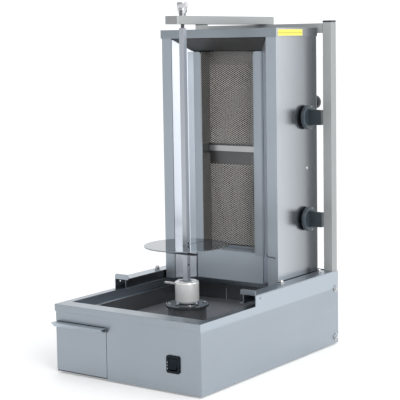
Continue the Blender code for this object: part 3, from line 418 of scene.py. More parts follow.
# Each finish: how it is made, its material, its colour, its roughness, and what differs from the maker's own
# values. A colour or roughness given as a name and a factor is that finish setting times the factor. Steel is
# brushed across, along X, unless its row says otherwise.
FINISHES = {
    # Painted shade: faces that look forward or back get a darker copy of the panel steel.
    "panel_x": (steel, "Brushed Steel Across", ("panel", 0.87), ("panel", 1.0), {}),
    "panel_y": (steel, "Brushed Steel Deep", ("panel", 1.0), ("panel", 1.0), {"stretch": ALONG_Y}),
    # Painted highlight: a lighter band along the top of the base's sides and the rim.
    "base_side": (steel, "Base Side Steel", ("panel", 0.97), ("panel", 1.0),
                  {"stretch": ALONG_Y, "fade": (UP, 0.1465, 0.1535, 1.18)}),
    # Painted reflection: the cabinet's sides darken towards the rear, a reflection gradient painted into the
    # colour.
    "cabinet": (steel, "Cabinet Steel", ("cabinet", 1.0), ("cabinet", 1.0),
                {"stretch": ALONG_Z, "grain": 0.03, "film": 0.1, "bump": 0.0,
                 "fade": (BACKWARD, 0.06, 0.3, 0.4)}),
    # Painted shade: a darker, rougher copy of the steel for the cabinet's front faces, set against the
    # lighter sides; the back, louvres and burner frames use it too.
    "cabinet_front": (steel, "Cabinet Front Steel", ("panel", 1.08), 0.5,
                      {"stretch": ALONG_Z, "grain": 0.05, "metallic": 0.82}),
    # Painted light: a lighter copy of the panel steel for the drawer's pull, against the shade under it.
    "lip": (steel, "Drawer Lip Steel", ("panel", 1.25), 0.45, {"metallic": 0.7}),
    # Painted shade: a darker copy of the panel steel for the guard's sill.
    "sill": (steel, "Sill Steel", ("panel", 0.62), 0.5, {"grain": 0.05, "metallic": 0.8}),
    # Painted light: a lighter copy of the panel steel for the apron, against the dark reflection of the pan.
    "apron": (steel, "Apron Steel", ("panel", 1.25), 0.5, {"grain": 0.05, "metallic": 0.6}),
    "plate": (steel, "Plate Steel", ("panel", 0.56), ("mirror", 0.7),
              {"stretch": ALONG_Y, "grain": 0.03, "bump": 0.0, "film": 0.08, "metallic": 0.85}),
    # Painted light: lighter, less metallic copies of the tube steel for the front faces of the posts and the
    # crossbar.
    "tube_front": (steel, "Tube Front Steel", ("tube", 1.12), 0.55,
                   {"stretch": ALONG_Z, "grain": 0.06, "metallic": 0.35}),
    "tube_top": (steel, "Cross Tube Front Steel", ("tube", 1.1), 0.55, {"grain": 0.06, "metallic": 0.4}),
    "tube_x": (steel, "Cross Tube Steel", ("tube", 1.0), ("panel", 1.0), {}),
    "tube_y": (steel, "Arm Tube Steel", ("tube", 1.0), ("panel", 1.0), {"stretch": ALONG_Y}),
    "tube_z": (steel, "Upright Tube Steel", ("tube", 1.0), ("panel", 1.0), {"stretch": ALONG_Z}),
    "mirror": (steel, "Reflector Steel", ("mirror", 1.0), 0.34,
               {"stretch": ALONG_Z, "grain": 0.04, "bump": 0.02, "film": 0.05}),
    "spit": (steel, "Spit Steel", ("mirror", 0.72), 0.4, {"stretch": ALONG_Z, "grain": 0.03, "bump": 0.0}),
    "pan": (steel, "Pan Steel", ("pan", 1.0), ("mirror", 0.9),
            {"grain": 0.06, "bump": 0.01, "film": 0.2, "metallic": 0.5}),
    # Painted shade: the pan's walls take a dark copy of the heated steel, set against the light pan floor.
    "pan_wall": (steel, "Pan Wall Steel", ("dark", 1.1), 0.2,
                 {"grain": 0.06, "film": 0.3, "bump": 0.01, "metallic": 0.7}),
    # Painted shade: the rails' inner webs take the dark heated-steel colour.
    "rail_web": (steel, "Rail Web Steel", ("dark", 1.0), 0.3,
                 {"stretch": ALONG_Y, "grain": 0.06, "film": 0.3}),
    "dark": (steel, "Heated Steel", ("dark", 1.0), 0.4, {"film": 0.25, "stain": (0.2, 0.9)}),
    # Painted shade: the mesh turns darker above its header line, where the ceiling shades it.
    "mesh": (steel, "Mesh Steel", ("mesh", 1.0), 0.5,
             {"film": 0.2, "bump": 0.0, "metallic": 0.5, "fade": (UP, 0.733, 0.738, 0.6)}),
    # Painted shade: a darker copy of the mesh steel for the wings along the recess's side walls.
    "mesh_wing": (steel, "Mesh Wing Steel", ("mesh", 0.45), 0.5,
                  {"stretch": ALONG_Y, "film": 0.2, "bump": 0.0, "metallic": 0.6}),
    "strip": (steel, "Divider Steel", ("zinc", 0.85), 0.35, {"grain": 0.2, "film": 0.35}),
    "zinc": (steel, "Zinc Plate", ("zinc", 1.0), 0.25,
             {"stretch": ALONG_Y, "grain": 0.05, "bump": 0.02, "film": 0.2}),
    "chrome": (steel, "Chrome", ("chrome", 1.0), 0.07,
               {"stretch": ALONG_Z, "grain": 0.02, "bump": 0.0, "film": 0.05}),
    "brass": (steel, "Brass", (0.62, 0.45, 0.19), 0.3, {"grain": 0.05, "film": 0.3}),
    "cup": (moulded, "Cup Enamel", ("cup", 1.0), 0.25,
            {"scale": 900.0, "bump": 0.01, "variation": 0.03, "coat": 0.3, "metallic": 0.45}),
    "plastic": (moulded, "Black Plastic", ("plastic", 0.6), 0.5, {}),
    "knob": (moulded, "Knob Plastic", ("plastic", 1.9), 0.4, {"coat": 0.3}),
    "grip": (moulded, "Grip Plastic", ("plastic", 1.0), 0.42, {"coat": 0.1}),
    "switch": (moulded, "Switch Plastic", (0.006, 0.010, 0.015), 0.45, {"gloss": 0.14}),
    "switch_mark": (moulded, "Switch Marks", (0.40, 0.43, 0.46), 0.5, PRINT_AND_HIGHLIGHT),
    # Painted highlight: light dots on the knobs' skirts, where their rims catch the light.
    "mark": (moulded, "Switch Print", (0.75, 0.75, 0.72), 0.5, PRINT_AND_HIGHLIGHT),
    # Painted shade: near-black for bores, cuts and gaps that lie in shadow.
    "hollow": (moulded, "Hollow Shadow", (0.012, 0.012, 0.012), 0.8, {}),
    "rubber": (moulded, "Black Rubber", (0.018, 0.018, 0.018), 0.85, {"scale": 700.0, "bump": 0.3}),
    "paint": (moulded, "Motor Paint", (0.05, 0.055, 0.06), 0.5, {"scale": 500.0, "bump": 0.1}),
    # Painted shade: the tile's colour is near black for the shade behind the guards, and its holes are darker
    # still.
    "ceramic": (ceramic, "Burner Ceramic", (0.045, 0.040, 0.036), 0.9,
                {"stained": (0.025, 0.022, 0.020, 1.0), "hole_shade": (0.02, 0.018, 0.016, 1.0)}),
    "label": (printed_label, "Blank Label", ("label", 1.0), 0.45, {}),
}


def setting_or(value, ending):
    """A colour or roughness as given, or from the finish settings if it is a name and a factor."""
    if not (isinstance(value, tuple) and isinstance(value[0], str)):
        return value
    name, factor = value
    setting = getattr(bpy.context.scene.broiler_finish, f"{name}_{ending}")
    return shade(setting, factor) if ending == "color" else setting * factor


def finish_of(kind):
    """The material for a named finish, made when it is first asked for."""
    maker, name, color, roughness, options = FINISHES[kind]
    return bpy.data.materials.get(name) or maker(
        name, setting_or(color, "color"), setting_or(roughness, "roughness"), **options)


# ------------------------------------------------------------ mesh helpers
def new_object(name, data):
    """An object for a mesh, curve, light or camera, linked to the scene."""
    thing = bpy.data.objects.new(name, data)
    bpy.context.scene.collection.objects.link(thing)
    return thing


def mesh_of(bm, name):
    """The bmesh as a named mesh; the bmesh is freed."""
    mesh = bpy.data.meshes.new(name)
    bm.to_mesh(mesh)
    bm.free()
    return mesh


def place_piece(name, mesh, kinds, node=None, body=None):
    """Link a mesh as a piece with its finishes; with a node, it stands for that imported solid."""
    piece = new_object(name, mesh)
    mesh.materials.clear()
    for kind in kinds:
        mesh.materials.append(finish_of(kind))
    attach(piece, body or BODY_OF[node])
    if node:
        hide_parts(node)
    return piece


def round_edges(piece, width, segments=2, angle=30.0):
    """A Bevel on every edge sharper than the angle, with flat faces kept flat in the shading."""
    piece.data.shade_smooth()
    bevel = piece.modifiers.new("Rounded Edges", "BEVEL")
    bevel.width = width
    bevel.segments = segments
    bevel.limit_method = "ANGLE"
    bevel.angle_limit = math.radians(angle)
    bevel.use_clamp_overlap = True
    flat = piece.modifiers.new("Flat Faces", "WEIGHTED_NORMAL")
    flat.mode = "FACE_AREA"
    flat.weight = 100
    return piece


def packed_mesh(node, name):
    """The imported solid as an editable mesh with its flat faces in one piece."""
    bm = bmesh.new()
    bm.from_mesh(NODES[node].data)
    bmesh.ops.remove_doubles(bm, verts=bm.verts, dist=1e-6)
    bmesh.ops.dissolve_limit(bm, angle_limit=math.radians(0.5), verts=bm.verts, edges=bm.edges)
    bmesh.ops.recalc_face_normals(bm, faces=bm.faces)
    return mesh_of(bm, name)


def finish_node(node, kind, edge=None, segments=2, angle=30.0, second=None, test=None):
    """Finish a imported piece; where test(face centre, normal) holds, the second finish is used."""
    width = bpy.context.scene.broiler_detail.edge if edge is None else edge
    name = node + "_finished"
    mesh = packed_mesh(node, name)
    piece = place_piece(name, mesh, [kind, second] if second else [kind], node)
    if second:
        for face in mesh.polygons:
            face.material_index = int(test(face.center, face.normal))
    round_edges(piece, width, segments, angle)


def finish_nodes(table, **options):
    """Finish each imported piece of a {node: finish} table alike."""
    for node, kind in table.items():
        finish_node(node, kind, **options)


def built(name, bm, kinds, node=None, body=None, edge=0.0, segments=2, angle=30.0):
    """A piece from a bmesh in metres."""
    bmesh.ops.recalc_face_normals(bm, faces=bm.faces)
    mesh = mesh_of(bm, name)
    piece = place_piece(name, mesh, kinds, node, body)
    if edge:
        return round_edges(piece, edge, segments, angle)
    mesh.shade_smooth()
    mesh.set_sharp_from_angle(angle=math.radians(angle))
    return piece


def add_box(bm, low, high):
    """Add a box between two corners."""
    low, high = Vector(low), Vector(high)
    place = Matrix.Translation((low + high) / 2) @ Matrix.Diagonal((*(high - low), 1.0))
    bmesh.ops.create_cube(bm, size=1.0, matrix=place)


def strip(name, low, high, kind, body="heater", edge=0.1 * MM, segments=1):
    """A flat strip of sheet with rounded edges, between two corners."""
    bm = bmesh.new()
    add_box(bm, low, high)
    built(name, bm, [kind], body=body, edge=edge, segments=segments)


def add_turned(bm, profile, place, steps):
    """Spin (radius, height) points round local Z and put the result at a matrix."""
    verts = [bm.verts.new((radius, 0.0, height)) for radius, height in profile]
    edges = [bm.edges.new(pair) for pair in zip(verts, verts[1:])]
    bmesh.ops.spin(bm, geom=verts + edges, cent=(0, 0, 0), axis=(0, 0, 1), angle=math.tau, steps=steps)
    turned = set(verts)
    stack = list(verts)
    while stack:
        for edge in stack.pop().link_edges:
            for vert in edge.verts:
                if vert not in turned:
                    turned.add(vert)
                    stack.append(vert)
    bmesh.ops.transform(bm, matrix=place, verts=list(turned))
    bmesh.ops.remove_doubles(bm, verts=list(turned), dist=1e-7)


FACING = {
    "+X": Matrix.Rotation(math.pi / 2, 4, "Y"),
    "-X": Matrix.Rotation(-math.pi / 2, 4, "Y"),
    "+Y": Matrix.Rotation(-math.pi / 2, 4, "X"),
}


def add_pan_head(bm, spot, facing, radius, height):
    """Domed screw head with a small recess."""
    profile = [(0.0, 0.0), (radius, 0.0), (radius, height * 0.25)]
    profile += [(radius * math.cos(math.radians(a)), height * (0.25 + 0.75 * math.sin(math.radians(a))))
                for a in (20, 40, 60)]
    profile += [(radius * 0.38, height * 0.97), (radius * 0.3, height * 0.55), (0.0, height * 0.5)]
    add_turned(bm, profile, Matrix.Translation(spot) @ FACING[facing], 24)


def wire(name, points, radius, kind, body):
    """A round wire with filled ends along points."""
    curve = bpy.data.curves.new(name, "CURVE")
    curve.dimensions = "3D"
    curve.bevel_depth = radius
    curve.bevel_resolution = 4
    curve.use_fill_caps = True
    spline = curve.splines.new("NURBS")
    spline.points.add(len(points) - 1)
    spline.use_endpoint_u = True
    spline.order_u = 3
    spline.resolution_u = 6
    for knot, point in zip(spline.points, points):
        knot.co = (*point, 1.0)
    curve.materials.append(finish_of(kind))
    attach(new_object(name, curve), body)


def lattice(name, origin, along, width, height, detail, kind="mesh", node=None, body=None):
    """Expanded metal: diamonds with open middles, upright, running from the origin."""
    columns = max(1, round(width / detail.diamond_width))
    rows = max(1, round(height / detail.diamond_height))
    across = Vector(along) * (width / columns / 2)
    up = Vector((0, 0, height / rows / 2))
    bm = bmesh.new()
    corners = {}
    for j in range(2 * rows + 1):
        for i in range(2 * columns + 1):
            if (i + j) % 2 == 0:
                corners[i, j] = bm.verts.new(Vector(origin) + across * i + up * j)
    for j in range(1, 2 * rows):
        for i in range(1, 2 * columns):
            if (i + j) % 2 == 1:
                bm.faces.new((corners[i - 1, j], corners[i, j - 1], corners[i + 1, j], corners[i, j + 1]))
    piece = built(name, bm, [kind], node=node, body=body)
    strands = piece.modifiers.new("Strands", "WIREFRAME")
    strands.thickness = detail.strand
    strands.use_even_offset = False
    strands.use_replace = True


# ------------------------------------------------------------ operators
class BroilerOperator:
    """What every operator of this file shares."""
    bl_options = {"REGISTER", "UNDO"}


class BROILER_OT_stage(BroilerOperator, Operator):
    """Make the floor, the studio light and the camera"""
    bl_idname = "broiler.stage"
    bl_label = "Stage"

    def execute(self, context):
        stage = context.scene.broiler_stage
        self.floor(stage)
        self.walls(context.scene, stage)
        self.softbox("side_softbox", spot=(2.6, 2.2, 1.1), target=(0.15, 0.1, 0.45), size=(1.6, 2.4),
                     power=stage.side_box)
        self.softbox("front_softbox", spot=(2.2, -1.5, 1.9), target=(0.0, 0.0, 0.5), size=(1.2, 1.6),
                     power=stage.front_box)
        self.camera(context.scene, stage)
        context.scene.view_settings.view_transform = "Standard"
        return {"FINISHED"}

    def floor(self, stage):
        bm = bmesh.new()
        bmesh.ops.create_circle(bm, cap_ends=True, radius=FLOOR_RADIUS, segments=96)
        mesh = mesh_of(bm, "floor")
        floor = new_object("floor", mesh)
        material, tree, shader = material_base("Floor", 0.7)
        clouds = add(tree, "ShaderNodeTexNoise", {"Scale": 3.0, "Detail": 2.0})
        surface(tree, shader, color=blend(tree, clouds.outputs["Fac"], shade(stage.floor_color, 0.99),
                                          shade(stage.floor_color, 1.01)))
        shader.inputs["Specular IOR Level"].default_value = 0.2
        shader.inputs["Emission Color"].default_value = (1.0, 1.0, 1.0, 1.0)
        shader.inputs["Emission Strength"].default_value = 0.16
        mesh.materials.append(material)

    def walls(self, scene, stage):
        """White walls all round, which light the object less from the front left."""
        world = bpy.data.worlds.new("Studio")
        scene.world = world
        world.use_nodes = True
        tree = world.node_tree
        place = add(tree, "ShaderNodeTexCoord")
        toward = Vector((-0.62, -0.78, 0.0)).normalized()
        side = add(tree, "ShaderNodeVectorMath", {0: place.outputs["Generated"], 1: toward},
                   operation="DOT_PRODUCT")
        fade = add(tree, "ShaderNodeMapRange",
                   {"Value": side.outputs["Value"], "From Min": -0.2, "From Max": 0.8,
                    "To Min": stage.sky, "To Max": stage.front_wall}, interpolation_type="SMOOTHSTEP")
        back = tree.nodes["Background"]
        back.inputs["Color"].default_value = (0.98, 0.99, 1.0, 1.0)
        path = add(tree, "ShaderNodeLightPath")
        seen = add(tree, "ShaderNodeMix",
                   {0: path.outputs["Is Camera Ray"], 2: fade.outputs["Result"], 3: stage.sky})
        tree.links.new(seen.outputs[0], back.inputs["Strength"])

    def softbox(self, name, spot, target, size, power):
        """A soft light at a spot, aimed at a target, that no camera sees."""
        light = bpy.data.lights.new(name, "AREA")
        light.shape = "RECTANGLE"
        light.size, light.size_y = size
        light.energy = power
        lamp = new_object(name, light)
        lamp.visible_camera = False
        lamp.location = spot
        lamp.rotation_euler = (Vector(target) - Vector(spot)).to_track_quat("-Z", "Y").to_euler()

    def camera(self, scene, stage):
        data = bpy.data.cameras.new("camera")
        data.lens = stage.lens
        data.sensor_width = 36.0
        data.shift_y = stage.shift
        data.clip_start = 0.05
        data.dof.use_dof = False
        turn = Matrix.Rotation(stage.azimuth, 4, "Z") @ Matrix.Rotation(math.pi / 2 - stage.elevation, 4, "X")
        turn = turn @ Matrix.Rotation(stage.roll, 4, "Z")
        camera = new_object("camera", data)
        camera.matrix_world = Matrix.Translation(stage.camera_position) @ turn
        scene.camera = camera


class BROILER_OT_base(BroilerOperator, Operator):
    """Finish the base box, its floor and its feet"""
    bl_idname = "broiler.base"
    bl_label = "Base Box"

    def execute(self, context):
        finish_nodes({"base_front_panel": "panel_x", "base_rear_panel": "panel_x",
                      "base_side_panel_left": "base_side", "base_side_panel_right": "base_side"})
        finish_node("base_floor_plate", "zinc", edge=0.4 * MM)
        finish_nodes({"rubber_foot_front": "rubber", "rubber_foot_rear": "rubber"}, edge=0.5 * MM)
        low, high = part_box("base_rear_panel")
        bm = bmesh.new()
        for x in (low.x + 12 * MM, 0.0, high.x - 12 * MM):
            for z in (low.z + 14 * MM, high.z - 30 * MM):
                add_pan_head(bm, (x, high.y, z), "+Y", 3.5 * MM, 2.2 * MM)
        built("rear_panel_screws", bm, ["zinc"], body="base")
        return {"FINISHED"}


class BROILER_OT_pan(BroilerOperator, Operator):
    """Finish the rim and the drip pan, and add the pan's weld"""
    bl_idname = "broiler.pan"
    bl_label = "Rim and Drip Pan"

    def execute(self, context):
        # The rim's side faces get base_side with its painted highlight band, and its other faces get the
        # darker panel_x copy, as painted shade.
        finish_node("top_frame", "base_side", edge=0.7 * MM, second="panel_x",
                    test=lambda centre, normal: abs(normal.x) < 0.5)
        # The pan's walls take pan_wall, as painted shade.
        finish_node("drip_pan", "pan", edge=0.5 * MM, second="pan_wall",
                    test=lambda centre, normal: abs(normal.z) < 0.5)
        self.weld()
        return {"FINISHED"}

    def weld(self):
        """A weld up the pan's rear wall, a drop at its foot and a bead along the corner."""
        low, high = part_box("drip_pan")
        weld_x, drop_x, bead_x = -72 * MM, -108 * MM, -112 * MM
        wall_y = high.y - 6.5 * MM
        floor_z = low.z + 12 * MM
        bm = bmesh.new()
        for ripple in range(16):
            spot = Vector((weld_x + 0.4 * MM * math.sin(ripple * 2.4), wall_y,
                           floor_z + (1.2 + ripple * 1.9) * MM))
            size = Matrix.Diagonal((1.3 * MM, 0.7 * MM, 1.5 * MM, 1.0))
            bmesh.ops.create_icosphere(bm, subdivisions=2, radius=1.0, matrix=Matrix.Translation(spot) @ size)
        drop = Matrix.Translation((drop_x, wall_y - 2 * MM, floor_z + 0.6 * MM))
        drop @= Matrix.Diagonal((3 * MM, 2 * MM, 1 * MM, 1))
        bmesh.ops.create_icosphere(bm, subdivisions=2, radius=1.0, matrix=drop)
        add_box(bm, (bead_x, wall_y - 0.6 * MM, floor_z - 0.4 * MM),
                (high.x - 12 * MM, wall_y + 0.5 * MM, floor_z + 0.5 * MM))
        built("pan_weld", bm, ["zinc"], body="base", angle=80)


class BROILER_OT_rails(BroilerOperator, Operator):
    """Finish the heater rails and their cap nuts"""
    bl_idname = "broiler.rails"
    bl_label = "Heater Rails"

    def execute(self, context):
        # The rails' inward faces take rail_web, as painted shade.
        for side, inward in (("left", 1), ("right", -1)):
            finish_node(f"rail_{side}", "panel_y", edge=0.5 * MM, second="rail_web",
                        test=lambda centre, normal, inward=inward: normal.x * inward > 0.5)
        finish_nodes({"rail_studs_left": "zinc", "rail_studs_right": "zinc"}, edge=0.35 * MM)
        return {"FINISHED"}


class BROILER_OT_drawer(BroilerOperator, Operator):
    """Finish the grease drawer"""
    bl_idname = "broiler.drawer"
    bl_label = "Grease Drawer"

    def execute(self, context):
        pull_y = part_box("base_front_panel")[0].y - 3.2 * MM
        # The pull's faces take the lighter lip copy of the steel, as painted light.
        finish_node("drawer_front", "panel_x", edge=0.6 * MM, second="lip",
                    test=lambda centre, normal: centre.y < pull_y)
        finish_node("drawer_box", "pan", edge=0.4 * MM)
        return {"FINISHED"}


class BROILER_OT_switch(BroilerOperator, Operator):
    """Finish the rocker switch and print its three marks"""
    bl_idname = "broiler.switch"
    bl_label = "Rocker Switch"

    def execute(self, context):
        finish_node("switch_bezel", "switch", edge=0.9 * MM, segments=3)
        finish_node("switch_rocker", "switch", edge=0.8 * MM, segments=3)
        low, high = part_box("switch_bezel")
        bm = bmesh.new()
        x = low.x + 3.3 * MM
        middle = (low.z + high.z) / 2
        for offset, half in ((4.0, 1.6), (-3.2, 1.1), (-10.4, 1.6)):
            z = middle + offset * MM
            add_box(bm, (x - 1.0 * MM, low.y - 0.12 * MM, z - half * MM),
                    (x + 1.0 * MM, low.y + 0.3 * MM, z + half * MM))
        built("switch_marks", bm, ["switch_mark"], body="base", edge=0.1 * MM, segments=1)
        return {"FINISHED"}


class BROILER_OT_support(BroilerOperator, Operator):
    """Finish the posts, the crossbar and the arm"""
    bl_idname = "broiler.support"
    bl_label = "Posts and Arm"

    def execute(self, context):
        # The tubes' front faces take the lighter copies of the steel, as painted light.
        for node in ("post_left", "post_right"):
            finish_node(node, "tube_z", edge=1.2 * MM, segments=3, second="tube_front",
                        test=lambda centre, normal: normal.y < -0.5)
        finish_node("crossbar", "tube_x", edge=1.2 * MM, segments=3, second="tube_top",
                    test=lambda centre, normal: normal.y < -0.5)
        finish_node("top_arm", "tube_y", edge=1.2 * MM, segments=3)
        finish_nodes({"post_cap_left": "plastic", "post_cap_right": "plastic"}, edge=0.8 * MM)
        finish_nodes({"post_bolts_left": "zinc", "post_bolts_right": "zinc"}, edge=0.4 * MM)
        return {"FINISHED"}


class BROILER_OT_motor(BroilerOperator, Operator):
    """Finish the gear motor, its flange and the cord gland"""
    bl_idname = "broiler.motor"
    bl_label = "Gear Motor"

    def execute(self, context):
        finish_nodes({"flange_gasket": "rubber", "gear_motor": "paint"}, edge=0.4 * MM)
        finish_nodes({"motor_flange": "plate", "flange_screws": "chrome"}, edge=0.35 * MM)
        finish_node("cable_gland", "plastic", edge=0.5 * MM)
        return {"FINISHED"}


class BROILER_OT_spindle(BroilerOperator, Operator):
    """Finish the drive cup, the clamp screw and the spit"""
    bl_idname = "broiler.spindle"
    bl_label = "Spindle"

    def execute(self, context):
        finish_node("motor_shaft", "chrome", edge=0.2 * MM)
        finish_node("drive_cup", "cup", edge=0.8 * MM, segments=3)
        low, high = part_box("spit_bar")
        axis = (low + high) / 2
        inside = (high.x - low.x) / 2 - 0.8 * MM
        # The faces inside the bar's bore take the near-black hollow finish, as painted shade.
        finish_node("spit_bar", "spit", edge=0.5 * MM, second="hollow",
                    test=lambda centre, normal: max(abs(centre.x - axis.x), abs(centre.y - axis.y)) < inside
                    and abs(normal.z) < 0.99)
        finish_node("clamp_screw", "zinc", edge=0.3 * MM)
        return {"FINISHED"}


class BROILER_OT_plate(BroilerOperator, Operator):
    """Finish the meat plate and its clip"""
    bl_idname = "broiler.plate"
    bl_label = "Meat Plate"

    def execute(self, context):
        low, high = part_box("meat_plate")
        axis = (low + high) / 2
        reach = (high.x - low.x) / 2 - 3 * MM

        def in_cut(centre, normal):
            across = abs(centre.x - axis.x)
            along = centre.y - axis.y
            in_slot = across < 2 * MM and 10.2 * MM < along < reach
            return abs(normal.z) < 0.3 and (in_slot or max(across, abs(along)) < 8 * MM)

        # Painted shade: the faces of the centre hole and the slot take the near-black hollow finish, and a
        # near-black strip lies down the slot.
        finish_node("meat_plate", "plate", edge=0.25 * MM, second="hollow", test=in_cut)
        strip("slot_key", (axis.x - 1.1 * MM, axis.y + 10.6 * MM, high.z - 2.2 * MM),
              (axis.x + 1.1 * MM, axis.y + 66 * MM, high.z - 0.5 * MM), "hollow", "plate")
        finish_node("plate_clip", "dark", edge=0.1 * MM, segments=1, angle=60)
        return {"FINISHED"}


class BROILER_OT_pin(BroilerOperator, Operator):
    """Finish the top pin and its knob"""
    bl_idname = "broiler.pin"
    bl_label = "Top Pin"

    def execute(self, context):
        # Painted shade: the pin takes the dark heated steel for the shadow it sits in under the arm.
        finish_node("top_pin", "dark", edge=0.2 * MM)
        finish_node("pin_knob", "chrome", edge=0.5 * MM, segments=3, angle=20)
        return {"FINISHED"}


class BROILER_OT_cabinet(BroilerOperator, Operator):
    """Finish the heater cabinet and add its label, screws and louvres"""
    bl_idname = "broiler.cabinet"
    bl_label = "Heater Cabinet"

    def execute(self, context):
        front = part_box("heater_side_right")[0].y + 2 * MM
        # Two copies of the steel on one sheet, lighter on the sides and darker on the front faces: painted
        # light and shade.
        finish_nodes({"heater_side_left": "cabinet", "heater_side_right": "cabinet"}, edge=0.6 * MM,
                     second="cabinet_front",
                     test=lambda centre, normal: centre.y < front and abs(normal.y) > 0.5)
        finish_node("heater_back", "cabinet_front")
        finish_node("heater_floor", "dark", edge=0.4 * MM)
        # The lid's side faces take the lighter cabinet copy and its other faces the darker panel_x copy:
        # painted light and shade.
        finish_node("heater_lid", "cabinet", edge=0.7 * MM, second="panel_x",
                    test=lambda centre, normal: abs(normal.x) < 0.5)
        self.label()
        self.screws()
        self.louvres(context.scene.broiler_detail)
        return {"FINISHED"}

    def label(self):
        low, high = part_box("heater_lid")
        strip("lid_label", (high.x - 0.1 * MM, low.y + 8 * MM, low.z + 2.5 * MM),
              (high.x + 0.15 * MM, low.y + 124 * MM, high.z - 4 * MM), "label", edge=0.08 * MM)

    def screws(self):
        """One screw in each side and a column of five down each edge of the back."""
        side_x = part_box("heater_side_right")[1].x
        side_y, side_z = 222 * MM, 470 * MM
        low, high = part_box("heater_back")
        foot_z, column = low.z + 30 * MM, high.z - low.z - 80 * MM
        bm = bmesh.new()
        for sign, facing in ((1, "+X"), (-1, "-X")):
            add_pan_head(bm, (sign * side_x, side_y, side_z), facing, 4.6 * MM, 3.4 * MM)
        for x in (low.x - 10 * MM, high.x + 10 * MM):
            for step in range(5):
                add_pan_head(bm, (x, high.y, foot_z + step * column / 4), "+Y", 3.4 * MM, 2.2 * MM)
        built("cabinet_screws", bm, ["zinc"], body="heater")

    def louvres(self, detail):
        """Pressed hoods with their mouths down, in two columns."""
        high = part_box("heater_back")[1]
        bm = bmesh.new()
        depth, half, pitch = 2.6 * MM, 30 * MM, 16 * MM
        for x in (-60 * MM, 60 * MM):
            for row in range(detail.louvres):
                z = high.z - 60 * MM - row * pitch
                section = [(0.0, 6.0), (depth * 0.55, 4.4), (depth, 1.2), (depth, -1.0),
                           (depth - 0.8 * MM, -1.0), (0.0, 3.6)]
                left, right = ([bm.verts.new((end, high.y + out, z + up * MM)) for out, up in section]
                               for end in (x - half, x + half))
                bm.faces.new(left)
                bm.faces.new(right)
                for i in range(len(section)):
                    j = (i + 1) % len(section)
                    bm.faces.new((left[i], left[j], right[j], right[i]))
        built("back_louvres", bm, ["cabinet_front"], body="heater", edge=0.4 * MM)


class BROILER_OT_recess(BroilerOperator, Operator):
    """Finish the reflectors, burner frames, ceiling and apron, and hang the wire hook"""
    bl_idname = "broiler.recess"
    bl_label = "Fire Recess"

    def execute(self, context):
        finish_nodes({"reflector_left": "mirror", "reflector_right": "mirror"}, edge=0.4 * MM)
        for side, inward in (("left", 1), ("right", -1)):
            finish_node(f"burner_frame_{side}", "cabinet_front", edge=0.5 * MM, second="dark",
                        test=lambda centre, normal, inward=inward: normal.x * inward > 0.9)
        # The apron takes the lighter copy of the steel, as painted light.
        finish_node("apron_panel", "apron", edge=0.5 * MM)
        self.sill()
        finish_node("ceiling_panel", "dark", edge=0.4 * MM)
        self.hook()
        return {"FINISHED"}

    def hook(self):
        """A wire from inside the recess, over the cabinet's front edge and down at its end."""
        low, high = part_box("heater_side_right")
        front = low.y - 1.4 * MM
        bends = [(-38, low.y + 9 * MM, 262.5), (-35, low.y + 3 * MM, 260.5), (-31, front, 258.5),
                 (-22, front, 258.0), (-14, front, 258.0), (-9, front, 256.8), (-8, front, 254.5)]
        wire("wire_hook", [(high.x + x * MM, y, z * MM) for x, y, z in bends], 1.1 * MM, "dark", "heater")

    def sill(self):
        """The folded strip that closes the foot of the lower guard, darker as painted shade, with a
        near-black strip of painted shadow over it.
        """
        low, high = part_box("mesh_guard_lower")
        left, right, back = low.x + 0.4 * MM, high.x - 0.4 * MM, low.y - 0.3 * MM
        strip("guard_sill", (left, low.y - 1.6 * MM, low.z - 5 * MM), (right, back, low.z + 8 * MM), "sill",
              edge=0.5 * MM, segments=2)
        # Painted shadow: a near-black strip along the top of the sill.
        strip("guard_edge", (left, low.y - 0.9 * MM, low.z + 8.2 * MM),
              (right, back, low.z + 10.6 * MM), "hollow")


